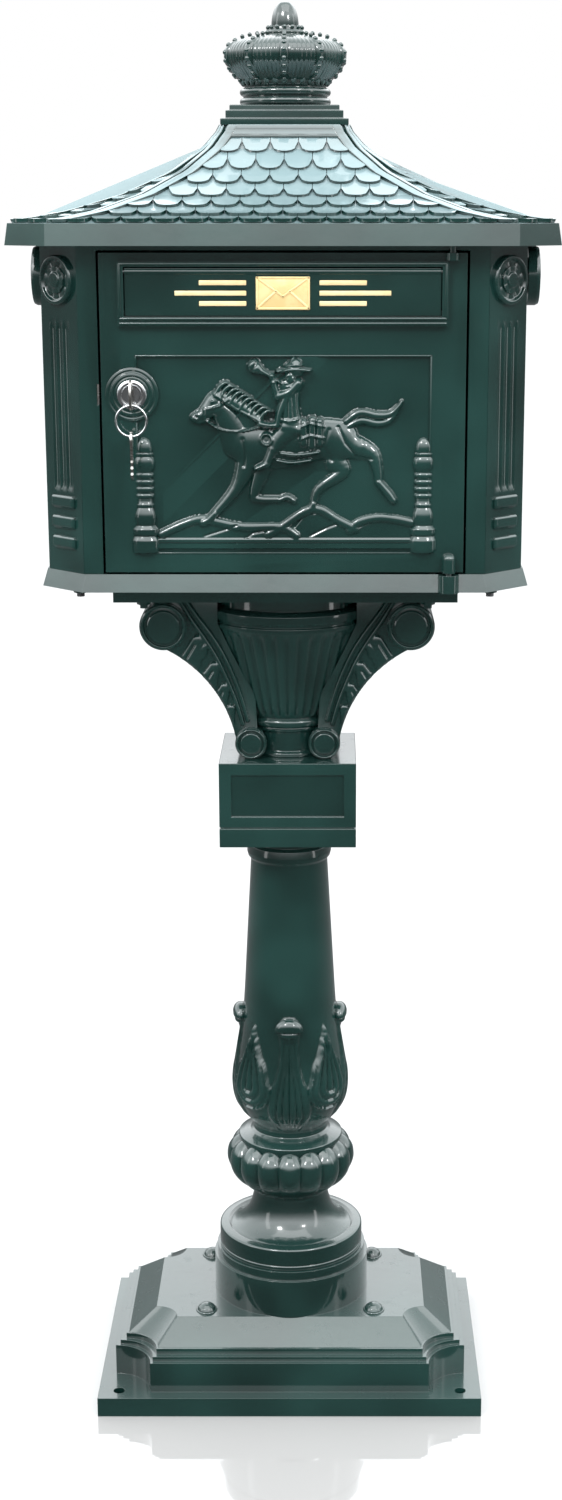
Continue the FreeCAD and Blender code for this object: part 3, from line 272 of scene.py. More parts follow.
def sharpEdges(shape, angle=32):
    limit = math.radians(angle)
    return [e for e in shape.edges if len(e.link_faces) == 2 and e.calc_face_angle(0) > limit]


def soften(shape, width, segments=2, angle=32):
    edges = sharpEdges(shape, angle)
    if edges:
        bmesh.ops.bevel(shape, geom=edges, offset=width, offset_type="OFFSET",
                        affect="EDGES", segments=segments, profile=0.5, material=-1,
                        clamp_overlap=True)


def castCopy(node, width=0.8, segments=2, flat=1.2):
    shape = bmesh.new()
    shape.from_mesh(nodes[node].data)
    bmesh.ops.transform(shape, matrix=nodes[node].matrix_world, verts=shape.verts)
    bmesh.ops.scale(shape, vec=(1000, 1000, 1000), verts=shape.verts)
    bmesh.ops.remove_doubles(shape, verts=shape.verts, dist=0.002)
    bmesh.ops.dissolve_limit(shape, angle_limit=math.radians(flat), verts=shape.verts,
                             edges=shape.edges)
    if width:
        soften(shape, width, segments)
    return shape


# Castings whose shape is right as drawn get rounded arrises here.
castings = {
    "foot_casting": ("post", 1.5), "capital_plinth": ("post", 1.3), "mount_pan": ("post", 1.0),
    "floor_tray": ("post", 1.2), "front_frame": ("post", 0.5), "back_panel": ("post", 0.6),
    "side_panel_left": ("post", 0.4), "side_panel_right": ("post", 0.4),
    "roof_shell": ("post", 1.3), "roof_cap": ("post", 1.3), "door_panel": ("door", 0.5),
    "slot_frame": ("door", 0.7), "letter_flap": ("flap", 0.8)}
rims = {"roof_shell": (16.0, 2.6), "floor_tray": (13.5, 0.9), "wide": 7}


def leanRim(shape, node):
    # The rim's outer face leans back, so its upper edge is drawn in a little.
    tall, inset = rims[node]
    low, high = millimetres(node)
    for vert in shape.verts:
        part = (vert.co.z - low.z) / tall
        if 0 < part < 1.05:
            for axis in (0, 1):
                if abs(vert.co[axis]) > high[axis] - rims["wide"]:
                    vert.co[axis] -= math.copysign(inset * min(part, 1), vert.co[axis])


for node, (body, width) in castings.items():
    shape = castCopy(node, width)
    if node in rims:
        leanRim(shape, node)
    piece = finishPiece(node + "_cast", shape, body, "green_casting", [node],
                        merge=0, outward=False, even=True)
    if node == "roof_shell":
        piece.data.materials[0] = roofFinish
print("castings rounded")


def softLine(points, steps=4):
    # A line of (across, up, radius) points whose corners are rounded off.
    line = []
    for index, point in enumerate(points):
        here = Vector(point[:2])
        radius = point[2] if len(point) > 2 else 0
        if not radius or index in (0, len(points) - 1):
            line.append(tuple(here))
            continue
        before = Vector(points[index - 1][:2]) - here
        after = Vector(points[index + 1][:2]) - here
        half = max(before.angle(after) / 2, 0.05)
        reach = min(radius / math.tan(half), before.length * 0.49, after.length * 0.49)
        first = here + before.normalized() * reach
        last = here + after.normalized() * reach
        for step in range(steps + 1):
            part = step / steps
            line.append(tuple(first * (1 - part) ** 2 + here * 2 * part * (1 - part)
                              + last * part ** 2))
    return line


def flowing(points, steps=5):
    # A smooth line through every point.
    line = []
    for index in range(len(points) - 1):
        a, b = np.array(points[index][:2]), np.array(points[index + 1][:2])
        before = np.array(points[max(index - 1, 0)][:2])
        after = np.array(points[min(index + 2, len(points) - 1)][:2])
        for step in range(steps):
            t = step / steps
            line.append(tuple(0.5 * (2 * a + (b - before) * t
                                     + (2 * before - 5 * a + 4 * b - after) * t * t
                                     + (3 * a - before - 3 * b + after) * t ** 3)))
    line.append(tuple(points[-1][:2]))
    return line


def turn(profile, steps=96, closed=False):
    # A shape turned about Z from (radius, height) points.
    shape = bmesh.new()
    line = [shape.verts.new((max(r, 0), 0, z)) for r, z in profile]
    edges = [shape.edges.new(pair) for pair in zip(line, line[1:])]
    if closed:
        edges.append(shape.edges.new((line[-1], line[0])))
    bmesh.ops.spin(shape, geom=line + edges, cent=(0, 0, 0), axis=(0, 0, 1), angle=fullTurn,
                   steps=steps, use_merge=True, use_duplicate=False)
    bmesh.ops.remove_doubles(shape, verts=shape.verts, dist=0.001)
    bmesh.ops.dissolve_degenerate(shape, edges=shape.edges, dist=0.0005)
    bmesh.ops.recalc_face_normals(shape, faces=shape.faces)
    return shape


def carve(shape, change):
    # Moves every point by change(angle, radius, height) -> (radius, height).
    for vert in shape.verts:
        radius = math.hypot(vert.co.x, vert.co.y)
        if radius > 1e-6:
            angle = math.atan2(vert.co.y, vert.co.x)
            fresh, vert.co.z = change(angle, radius, vert.co.z)
            vert.co.x *= fresh / radius
            vert.co.y *= fresh / radius


def facing(shape, way, at):
    # Turns a shape made along +Z to look along way, and puts its foot at a place.
    spin = Vector((0, 0, 1)).rotation_difference(Vector(way)).to_matrix().to_4x4()
    bmesh.ops.transform(shape, matrix=Matrix.Translation(at) @ spin, verts=shape.verts)
    return shape


def added(shape, other):
    # Takes another shape into this one.
    mesh = bpy.data.meshes.new("part")
    other.to_mesh(mesh)
    other.free()
    shape.from_mesh(mesh)
    bpy.data.meshes.remove(mesh)
    return shape


def blockOf(low, high, rounding=1.0, segments=3):
    shape = bmesh.new()
    bmesh.ops.create_cube(shape, size=1)
    size = Vector(high) - Vector(low)
    bmesh.ops.scale(shape, vec=size, verts=shape.verts)
    bmesh.ops.translate(shape, vec=(Vector(low) + Vector(high)) / 2, verts=shape.verts)
    soften(shape, rounding, segments)
    return shape


def bead(at, radius, flat=1.0, coarse=8):
    shape = bmesh.new()
    bmesh.ops.create_uvsphere(shape, u_segments=coarse, v_segments=coarse - 2, radius=radius)
    bmesh.ops.scale(shape, vec=(1, 1, flat), verts=shape.verts)
    bmesh.ops.translate(shape, vec=at, verts=shape.verts)
    return shape


def openEdges(shape):
    return [e for e in shape.edges if e.is_boundary]


def drawnRim(shape):
    # The new rim's points, where an open sheet's edge is drawn out for its thickness.
    grown = bmesh.ops.extrude_edge_only(shape, edges=openEdges(shape))["geom"]
    return [g for g in grown if isinstance(g, bmesh.types.BMVert)]


def closedBack(shape, down=None):
    # Gives an open sheet its thickness and a flat back.
    if down is not None:
        bmesh.ops.translate(shape, vec=down, verts=drawnRim(shape))
    bmesh.ops.holes_fill(shape, edges=openEdges(shape), sides=0)


def sideWord(side):
    return "Left" if side < 0 else "Right"


def ease(value, low, high):
    part = np.clip((value - low) / (high - low), 0, 1)
    return part * part * (3 - 2 * part)


# Column: foot bell, lobed collar, leaf bulb with the tapered shaft.
column = {"wall": 6.0, "neck": 31.8, "lobes": 16, "lobeDepth": 4.2, "steps": 192, "bulb": 47,
          "leafRise": 3.0, "veins": (-13, -7, 0, 7, 13), "tipOut": 42.6, "tipUp": 104,
          "tip": (6.6, 12.5, 7.6), "lipOut": 42.8, "lipUp": 97.5, "lip": (5.0, 8.0, 4.2)}


def columnFoot():
    low, high = millimetres("column_foot")
    neck, wall, rim, top = column["neck"], column["wall"], high.x, high.z
    outer = softLine([(rim - 6, low.z), (rim, low.z, 1.0), (rim, low.z + 3.4, 0.6),
                      (rim - 0.9, low.z + 4.2, 0.5), (rim, low.z + 5.0, 0.6),
                      (rim, low.z + 19.4, 2.4), (rim - 7.5, low.z + 20.2, 1.5),
                      (rim - 9.5, low.z + 19.2, 0.8)])
    bell = flowing([(rim - 10.5, low.z + 19.8), (rim - 14.5, low.z + 21.6),
                    (rim - 19.5, low.z + 25.4), (rim - 24.4, low.z + 31.5),
                    (rim - 28.0, low.z + 39.5), (neck, top)])
    inner = [(neck - wall, top), (neck - wall, low.z + 25), (rim - wall, low.z + 12)]
    finishPiece("columnBell", turn(outer + bell + inner, 144, True), "post", "green_casting",
                ["column_foot"], crease=50)


def lobedCollar():
    low, high = millimetres("lobed_collar")
    base, top = low.z, high.z
    neck, wall = column["neck"], column["wall"]
    line = flowing([(neck, base), (neck + 0.6, base + 2), (neck + 5.5, base + 6),
                    (neck + 14, base + 12), (neck + 20, base + 19.5), (high.x - 0.5, base + 27),
                    (high.x, base + 33), (high.x - 1.2, base + 40), (high.x - 5, base + 46),
                    (high.x - 9.5, base + 49.5)], 5)
    line += softLine([(high.x - 10.5, base + 50), (high.x - 10.2, base + 53.6, 1.2),
                      (neck + 8, base + 55.5, 1.5), (neck + 3, base + 57.0, 1.0),
                      (neck, base + 59, 1.0), (neck, top)])
    line += [(neck - wall, top), (neck - wall, base + 50), (high.x - 12, base + 38),
             (high.x - 12, base + 28), (neck - wall, base + 8), (neck - wall, base)]
    shape = turn(line, column["steps"], True)

    def gadroon(angle, radius, height):
        if radius < neck - 1:
            return radius, height
        lobe = abs(math.cos(angle * column["lobes"] / 2)) ** 0.75
        part = (height - base - 7) / 44
        depth = column["lobeDepth"] * max(math.sin(math.pi * min(max(part, 0), 1)), 0) ** 0.6
        arch = float(ease(height, base + 38, base + 49.5)) * (1 - ease(height, base + 50,
                                                                       base + 54))
        return radius - depth * (1 - lobe), height - 4.5 * arch * (1 - lobe)

    carve(shape, gadroon)
    finishPiece("gadroonCollar", shape, "post", "green_casting", ["lobed_collar"], crease=60)


class Relief:
    # Heights over two directions, with strokes laid on them.
    def __init__(self, x, z):
        self.x, self.z = x, z
        self.h = np.zeros_like(x)

    def away(self, points, radii):
        # Distance over radius to the nearest of a chain of tapering strokes.
        best = np.full_like(self.x, 9.0)
        near = np.full_like(self.x, 99.0)
        for index in range(max(len(points) - 1, 1)):
            ax, az = points[index]
            bx, bz = points[min(index + 1, len(points) - 1)]
            long = max((bx - ax) ** 2 + (bz - az) ** 2, 1e-9)
            t = np.clip(((self.x - ax) * (bx - ax) + (self.z - az) * (bz - az)) / long, 0, 1)
            gap = np.hypot(self.x - ax - t * (bx - ax), self.z - az - t * (bz - az))
            radius = radii[index] + (radii[min(index + 1, len(radii) - 1)] - radii[index]) * t
            best = np.minimum(best, gap / radius)
            near = np.minimum(near, gap)
        return best, near

    def swell(self, rise, blend=0.7):
        top = np.maximum(self.h, rise)
        join = np.clip(1 - np.abs(self.h - rise) / blend, 0, 1) ** 2 * blend / 4
        self.h = np.where(np.minimum(self.h, rise) > 0.05, top + join, top)

    def limb(self, points, radii, rise, blend=0.7, power=0.5):
        radii = radii if isinstance(radii, (list, tuple)) else [radii] * len(points)
        if len(points) > 2:
            across = flowing([(x, r) for (x, z), r in zip(points, radii)], 4)
            upward = flowing([(z, r) for (x, z), r in zip(points, radii)], 4)
            points = [(a[0], b[0]) for a, b in zip(across, upward)]
            radii = [max(a[1], 0.4) for a in across]
        best = self.away(points, radii)[0]
        self.swell(rise * np.clip(1 - best ** 2, 0, 1) ** power, blend)

    def ridge(self, points, width, rise):
        near = self.away(points, [1.0] * len(points))[1]
        self.h = self.h + rise * np.exp(-(near / width) ** 2)

    def groove(self, points, width, depth):
        near = self.away(points, [1.0] * len(points))[1]
        self.h = np.maximum(self.h - depth * np.exp(-(near / width) ** 2), 0)


def patch(spans, step, draw, place, sunk=-0.4, back=1.2, whole=False):
    # A grid raised by a relief: place(x, z, height) gives where each point goes.
    (x0, x1), (z0, z1) = spans
    columns, rows = max(int((x1 - x0) / step), 2), max(int((z1 - z0) / step), 2)
    shape = bmesh.new()
    bmesh.ops.create_grid(shape, x_segments=columns, y_segments=rows, size=1)
    flat = np.array([v.co[:2] for v in shape.verts])
    x = x0 + (flat[:, 0] + 1) / 2 * (x1 - x0)
    z = z0 + (flat[:, 1] + 1) / 2 * (z1 - z0)
    relief = Relief(x, z)
    draw(relief)
    height = relief.h
    if not whole:
        height = np.where(height <= 0.02, sunk, height)
    for index, vert in enumerate(shape.verts):
        vert.co = place(x[index], z[index], height[index])
        vert.index = index
    if not whole:
        shape.verts.index_update()
        idle = [f for f in shape.faces if all(height[v.index] <= 0.02 for v in f.verts)]
        bmesh.ops.delete(shape, geom=idle, context="FACES")
    closedBack(shape, place(x0, z0, sunk - back) - place(x0, z0, sunk))
    return shape


def leafColumn():
    low, high = millimetres("leaf_column")
    base = low.z
    neck, wall, girth = column["neck"], column["wall"], column["bulb"]
    bulb = flowing([(neck, base), (neck + 0.8, base + 4), (neck + 5, base + 10),
                    (41.0, base + 17), (45.4, base + 26), (47.4, base + 38), (47.0, base + 52),
                    (44.6, base + 70), (42.0, base + 88), (40.6, base + 102),
                    (39.4, base + 116)], 7)
    shaft = softLine([(38.6, base + 128), (32.3, base + 242.5, 2.0), (34.6, base + 245.2, 1.0),
                      (35.6, base + 249, 2.0), (34.4, base + 255, 1.2), (32.4, base + 257.5, 1.5),
                      (32.4, base + 260, 0.8), (36, base + 262.2, 0.8), (36, high.z)])
    shape = turn(bulb + shaft + [(26.2, high.z), (26.2, base + 243), (34, base + 110),
                                 (40, base + 39), (neck - wall, base + 4), (neck - wall, base)],
                 240, True)
    drawn = [v for v in shape.verts
             if math.hypot(v.co.x, v.co.y) > neck - 1 and v.co.z < base + 122]
    angle = np.array([math.atan2(v.co.y, v.co.x) for v in drawn])
    height = np.array([v.co.z - base for v in drawn])
    quarter = (angle + math.pi / 4) % (math.pi / 2) - math.pi / 4
    relief = Relief(quarter * girth, height)
    # the upright leaf on each side: a blade that narrows to a rolled tip
    middle = [(0, 9), (0, 24), (0, 40), (0, 60), (0, 78), (0, 92), (0, 100)]
    relief.limb(middle, [12, 19, 17, 11, 8.5, 9.0, 11], column["leafRise"], power=0.3)
    for root in column["veins"]:
        relief.groove([(root * 0.55, 8), (root * 0.95, 22), (root * 0.75, 44), (root * 0.42, 66),
                       (root * 0.36, 90)], 1.2, 1.9)
    # drop-shaped scrolls between the leaves, drawn with nested ridges
    for side in (-1, 1):
        corner = side * math.pi / 4 * girth
        drop = [(corner, 47), (corner, 60), (corner, 78), (corner, 99)]
        best = relief.away(drop, [21.5, 17, 9.0, 1.2])[0]
        inside = np.clip(1 - best, 0, 1)
        waves = np.abs(np.cos((1 - inside) * math.pi * 3.0)) ** 0.8
        relief.swell(np.where(inside > 0, 1.4 * ease(inside, 0, 0.1) + 2.8 * waves
                              * ease(inside, 0, 0.08), 0), 0.2)
    # the relief starts a little above the neck
    for vert, rise in zip(drawn, relief.h):
        radius = math.hypot(vert.co.x, vert.co.y)
        fade = float(ease(vert.co.z - base, 4, 16))
        vert.co.x *= (radius + rise * fade) / radius
        vert.co.y *= (radius + rise * fade) / radius
    # rolled leaf tips
    for index in range(4):
        way = Vector((math.cos(index * math.pi / 2), math.sin(index * math.pi / 2), 0))
        curl = bmesh.new()
        bmesh.ops.create_uvsphere(curl, u_segments=24, v_segments=16, radius=1)
        for v in curl.verts:
            v.co = Vector([a * b for a, b in zip(v.co, column["tip"])])
            v.co.z -= 2.6 * (v.co.y / column["tip"][1]) ** 2
            if v.co.z < -2.0:
                v.co.z = -2.0 + (v.co.z + 2.0) * 0.55
                v.co.x *= 1 + 0.25 * min((-2.0 - v.co.z) / 2.5, 1)
        spin = Matrix.Rotation(index * math.pi / 2, 4, "Z")
        bmesh.ops.transform(curl, matrix=Matrix.Translation(way * column["tipOut"] + Vector(
            (0, 0, base + column["tipUp"]))) @ spin, verts=curl.verts)
        added(shape, curl)
        lip = bmesh.new()
        bmesh.ops.create_uvsphere(lip, u_segments=16, v_segments=10, radius=1)
        bmesh.ops.scale(lip, vec=column["lip"], verts=lip.verts)
        bmesh.ops.transform(lip, matrix=Matrix.Translation(way * column["lipOut"] + Vector(
            (0, 0, base + column["lipUp"]))) @ spin, verts=lip.verts)
        added(shape, lip)
    finishPiece("leafColumn", shape, "post", "green_casting", ["leaf_column"], crease=60)


columnFoot()
lobedCollar()
leafColumn()
print("column ready")

# Capital: fluted cup and the two scrolled brackets.
cup = {"flutes": 36, "fluteDepth": 2.3, "neck": 33.0}


def capitalCup():
    low, high = millimetres("capital_cup")
    base, top = low.z, high.z
    neck = cup["neck"]
    line = softLine([(neck - 5, base), (neck + 2.5, base, 0.8), (neck + 2.5, base + 3, 1.2),
                     (neck, base + 4.6, 1.0), (neck, base + 20.5, 1.4), (neck + 1.8, base + 21.6),
                     (neck + 1.8, base + 24.2), (neck + 1.2, base + 25)])
    line += [(neck + 3.1 + 1.6 * math.cos(a), base + 28.2 + 3.2 * math.sin(a))
             for a in np.linspace(-1.5, 1.5, 7)]
    line += flowing([(neck + 2.4, base + 32.4), (neck + 5.5, base + 36),
                     (neck + 9.5, base + 44), (neck + 15.5, base + 62), (neck + 21.5, base + 80),
                     (neck + 27, base + 97), (neck + 31.2, base + 107.5)], 5)
    line += softLine([(neck + 32, base + 108.2), (neck + 32.2, base + 111.5, 1.0),
                      (neck + 31, base + 112.5, 0.5), (neck + 31, base + 114.5, 0.5),
                      (neck + 33.5, base + 115.5, 1.2), (neck + 33.5, base + 122, 1.5),
                      (neck + 30, base + 124.5, 1.0), (neck + 27, base + 125, 0.6),
                      (neck + 27, top - 1, 0.6), (neck + 26, top)])
    line += [(neck + 22, top), (neck + 22, base + 112), (neck - 5, base + 32)]
    shape = turn(line, cup["flutes"] * 6, True)

    def flute(angle, radius, height):
        if radius < 24 + 0.28 * (height - base) or not base + 33 < height < base + 108:
            return radius, height
        dip = max(math.cos(angle * cup["flutes"]), 0) ** 0.6
        reach = ease(height, base + 33.5 + 3.5 * (1 - dip), base + 38 + 3.5 * (1 - dip))
        return radius - cup["fluteDepth"] * dip * float(reach) * float(
            1 - ease(height, base + 101, base + 107)), height

    carve(shape, flute)
    finishPiece("flutedCup", shape, "post", "green_casting", ["capital_cup"], crease=60)


# Brackets: (across, up, radius) of the two scrolls, then the leaf's lobes as (foot, tip, their
# radii) and its grooves as (foot, tip, width), all drawn for the left bracket.
scroll = {"rolls": ((100, 670, 19.4), (30, 573, 13.0)), "rollFace": 40, "webFace": 36,
          "rise": 3.0, "groove": 1.6, "hollow": (-145.6, 556.6, 105),
          "lobes": (((-79, 640), (-72, 657), (9, 6)), ((-70, 648), (-66, 653.5), (5.5, 2.6)),
                    ((-67, 619), (-59, 636), (9, 5)), ((-60, 630), (-56, 638), (4.5, 2.4)),
                    ((-58, 600), (-51, 619), (8, 4.4)), ((-50, 588), (-46, 602), (6.5, 3.4))),
          "grooves": (((-84, 640), (-75, 655), 1.1), ((-70, 618), (-61, 633), 1.1),
                      ((-60, 600), (-53, 616), 1.1), ((-52, 588), (-48, 600), 1.0)),
          "stems": (((-86, 690), (-77, 674.6), (-67, 659.8), (-57.4, 644), (-49, 625.6),
                     (-41.8, 607), (-36.6, 589)),
                    ((-81, 690), (-73, 678), (-63, 664.5), (-53.4, 649.5), (-45, 631.5),
                     (-37.8, 611.5), (-32.6, 592)))}


def drawScroll(relief):
    for foot, tip, radii in scroll["lobes"]:
        relief.limb([foot, tip], radii, scroll["rise"], 0.25, 0.35)
    for foot, tip, wide in scroll["grooves"]:
        relief.groove([foot, tip], wide, scroll["groove"])
    for stem in scroll["stems"]:
        relief.limb(stem, 1.9, 2.9, 0.2)
    # stop short of the hollow outer edge
    x, z, radius = scroll["hollow"]
    gap = np.hypot(relief.x - x, relief.z - z) - radius
    relief.h = relief.h * ease(gap, 0.3, 2.2)


def bracket(side, node):
    shape = castCopy(node, 0.9)
    for face in (-1, 1):
        for x, z, big in scroll["rolls"]:
            at = (x * side, face * scroll["rollFace"], z)
            ring = turn(softLine([(big * 0.80, -1), (big * 0.80, 0.6, 0.4), (big * 0.84, 2.4, 0.9),
                                  (big * 0.93, 2.4, 1.2), (big * 0.975, 0, 0.2),
                                  (big * 0.975, -1)]), 72, True)
            added(shape, facing(ring, (0, face, 0), at))
            disc = turn(softLine([(0, -1), (big * 0.70, -1), (big * 0.70, 1.0, 0.5),
                                  (big * 0.63, 1.9, 1.2), (0, 2.2)]), 64, True)
            added(shape, facing(disc, (0, face, 0), at))

        def place(x, z, height):
            return Vector((x * -side, face * (scroll["webFace"] + height), z))

        added(shape, patch(((-92, -29), (584, 692)), 0.7, drawScroll, place))
    return shape


capitalCup()
for side, node in ((-1, "scroll_bracket_left"), (1, "scroll_bracket_right")):
    finishPiece("scrollBracket" + sideWord(side), bracket(side, node), "post",
                "green_casting", [node], crease=45, merge=0, outward=False)
print("capital ready")


# Corner strips: flutes, a rosette at the top and three half-round bars at the foot.
strip = {"halfWidth": 21.2, "inner": 19.1, "deep": 2.12, "fluteLow": 787.0, "fluteHigh": 916.0,
         "fluteApart": 7.6, "fluteWide": 3.6, "fluteDepth": 1.6, "rosetteZ": 945.0,
         "rosette": (18.3, 5.1, 8), "middleX": 168, "middleY": 111, "bars": 3, "barHalf": 13,
         "barHigh": 9, "barRise": 3.2, "barLow": 744.0, "barPitch": 15.5}


def rosette(radius, rise, petals):
    shape = turn(softLine([(0, -1), (radius, -1), (radius, rise * 0.55, 0.8),
                           (radius * 0.95, rise * 0.8, 1.2), (radius * 0.84, rise * 0.82, 1.0),
                           (radius * 0.76, rise * 0.36, 1.4), (radius * 0.5, rise * 0.34, 0.8),
                           (radius * 0.56, rise * 0.62, 1.6), (radius * 0.34, rise * 0.72, 0.8),
                           (radius * 0.30, rise * 0.94, 1.8), (0, rise)], 5), petals * 12)

    def petal(angle, r, z):
        inside = ease(r / radius, 0.47, 0.55) * (1 - ease(r / radius, 0.70, 0.80))
        lobe = abs(math.cos(angle * petals / 2)) ** 0.7
        return r, z + float(inside) * rise * 0.16 * (lobe - 0.35) if z > 0 else z

    carve(shape, petal)
    return shape


def cornerStrip(sx, sy, node):
    low, high = millimetres(node)
    middle = Vector((sx * strip["middleX"], sy * strip["middleY"], 0))
    out = Vector((sx, sy, 0)).normalized()
    along = Vector((0, 0, 1)).cross(out)
    shape = bmesh.new()
    bmesh.ops.create_grid(shape, x_segments=64, y_segments=110, size=1)
    for vert in shape.verts:
        u, z = vert.co.x * strip["halfWidth"], low.z + (vert.co.y + 1) / 2 * (high.z - low.z)
        gap = min(abs(u - k * strip["fluteApart"]) for k in (-1, 0, 1)) / strip["fluteWide"]
        end = min(z - strip["fluteLow"], strip["fluteHigh"] - z)
        dip = max(1 - gap ** 2, 0) ** 0.5 * float(ease(end, 0, 6))
        vert.co = middle + along * u - out * strip["fluteDepth"] * dip
        vert.co.z = z
    for vert in drawnRim(shape):
        u = (vert.co - middle).dot(along)
        vert.co += (-out * strip["deep"]
                    - along * u * (1 - strip["inner"] / strip["halfWidth"]))
    closedBack(shape)
    flower = rosette(*strip["rosette"])
    added(shape, facing(flower, out, middle + Vector((0, 0, strip["rosetteZ"]))))
    half = strip["barHalf"]
    spin = Matrix((along, out, Vector((0, 0, 1)))).transposed().to_4x4()
    for step in range(strip["bars"]):
        bar = blockOf((-half, -1, 0), (half, strip["barRise"], strip["barHigh"]), 3.0, 4)
        for vert in bar.verts:
            if vert.co.y > 1.5:  # each bar's face sits a little higher than its back
                vert.co.z += 0.8
        bmesh.ops.transform(bar, matrix=Matrix.Translation(middle + Vector(
            (0, 0, strip["barLow"] + step * strip["barPitch"]))) @ spin, verts=bar.verts)
        added(shape, bar)
    finishPiece("cornerStrip" + ("Front" if sy < 0 else "Back") + sideWord(sx), shape, "post",
                "green_casting", [node], crease=50, even=True)


for sy, end in ((-1, "front"), (1, "back")):
    for sx in (-1, 1):
        cornerStrip(sx, sy, "corner_pilaster_" + end + "_" + sideWord(sx).lower())


# Side trims: a deep round boss near the top and a spread leaf below it. A leaf's lobes are
# (points, radii, rise) and its grooves points, for one half.
sideTrim = {"boss": (23, 10.4, 10), "bossUp": 8.5, "stem": 14.2, "step": 0.6, "halfWide": 40,
            "halfTall": 22, "heart": 9, "heartRise": 7.8, "ring": 9.2,
            "lobes": ((((6, 0), (22, 3), (36, 10)), (6, 8, 3), 4.6),
                      (((8, -2), (24, -7), (38, -6)), (6, 6.5, 2.2), 4.0),
                      (((5, 5), (14, 14), (20, 19)), (5, 5, 2), 3.8),
                      (((5, -5), (14, -14), (21, -18)), (5, 5, 2), 3.8)),
            "grooves": (((6, 1), (22, 4), (34, 9)), ((8, -3), (24, -7.5), (36, -6.2)))}


def sideBoss(side, node):
    low, high = millimetres(node)
    stem = turn(softLine([(0, -1), (16, -1), (15.5, 1.2, 1.0), (sideTrim["stem"], 2.5, 1.0),
                          (sideTrim["stem"], 8, 0.8), (0, 8)]), 72)
    top = rosette(*sideTrim["boss"])
    bmesh.ops.translate(top, vec=(0, 0, sideTrim["bossUp"]), verts=top.verts)
    wall = high.x if side < 0 else low.x
    shape = facing(added(stem, top), (side, 0, 0), (wall, 0, (low.z + high.z) / 2))
    finishPiece("sideBoss" + sideWord(side), shape, "post", "green_casting", [node], crease=50)


def drawLeaf(relief):
    for way in (-1, 1):
        for points, radii, rise in sideTrim["lobes"]:
            relief.limb([(way * y, z) for y, z in points], radii, rise, 0.8)
        for points in sideTrim["grooves"]:
            relief.groove([(way * y, z) for y, z in points], 0.8, 1.2)
    for way in (1, -1):
        relief.limb([(0, way * 4), (0, way * 20)], (7, 2), 4.5, 0.8)
    relief.limb([(0, 0)], sideTrim["heart"], sideTrim["heartRise"], 0.8)
    near = relief.away([(0, 0)], [1.0])[1]
    dip = 1.6 * np.exp(-((near - sideTrim["ring"]) / 0.8) ** 2)
    relief.h = relief.h - dip * (relief.h > 0)


def sideLeaf(side, node):
    low, high = millimetres(node)
    wall = high.x if side < 0 else low.x
    middle = (low.z + high.z) / 2
    wide, tall = sideTrim["halfWide"], sideTrim["halfTall"]

    def place(y, z, height):
        return Vector((wall + side * height, y, middle + z))

    shape = patch(((-wide, wide), (-tall, tall)), sideTrim["step"], drawLeaf, place)
    finishPiece("sideLeaf" + sideWord(side), shape, "post", "green_casting", [node], crease=60)


for side in (-1, 1):
    sideBoss(side, "side_rosette_" + sideWord(side).lower())
    sideLeaf(side, "side_ornament_" + sideWord(side).lower())
print("box trims ready")

# Roof: rows of round-ended scales with raised bands along the hips.
roof = {"power": 2.9, "low": 986.0, "rise": 72.0, "x": (47.6, 156.2), "y": (40.0, 104.0),
        "corner": (4.0, 30.0), "bends": 7, "pitch": 21.5, "rowStep": 17.6, "rows": 8,
        "thick": 2.4, "tileDeep": 2.8, "tileHalf": 0.485, "overlap": 1.25, "roundEnd": 0.55,
        "band": 8.0, "hipBand": 4.5, "topBand": 10.8}


def roofFace(kind, sx, sy):
    # Gives spots(along, up the slope) for one face, its half width, and the slope's length.
    count = roof["bends"]
    turns = [math.radians(90.0 * step / count) for step in range(count + 1)]
    across = np.array([math.cos(t) ** roof["power"] for t in turns])
    z = roof["low"] + roof["rise"] * np.array([math.sin(t) ** roof["power"] for t in turns])
    x, y, c = (roof[k][0] + roof[k][1] * across for k in ("x", "y", "corner"))
    if kind == "front":
        centre, half, along = np.stack((x * 0, sy * y), 1), x - c, Vector((-sy, 0, 0))
        reach = y
    elif kind == "side":
        centre, half, along = np.stack((sx * x, x * 0), 1), y - c, Vector((0, sx, 0))
        reach = x
    else:
        centre = np.stack((sx * (x - c / 2), sy * (y - c / 2)), 1)
        half, along = c / math.sqrt(2), Vector((-sy, sx, 0)).normalized()
        reach = (x + y - c) / math.sqrt(2)
    length = np.concatenate(([0], np.cumsum(np.hypot(np.diff(reach), np.diff(z)))))

    def spot(u, s, lift):
        def on(q):
            return Vector((np.interp(q, length, centre[:, 0]), np.interp(q, length, centre[:, 1]),
                           np.interp(q, length, z)))
        slope = (on(min(s + 3, length[-1])) - on(max(s - 3, 0))).normalized()
        normal = along.cross(slope)
        normal = normal if normal.z > 0 else -normal
        return on(s) + along * u + normal.normalized() * lift

    return spot, lambda s: float(np.interp(s, length, half)), float(length[-1])


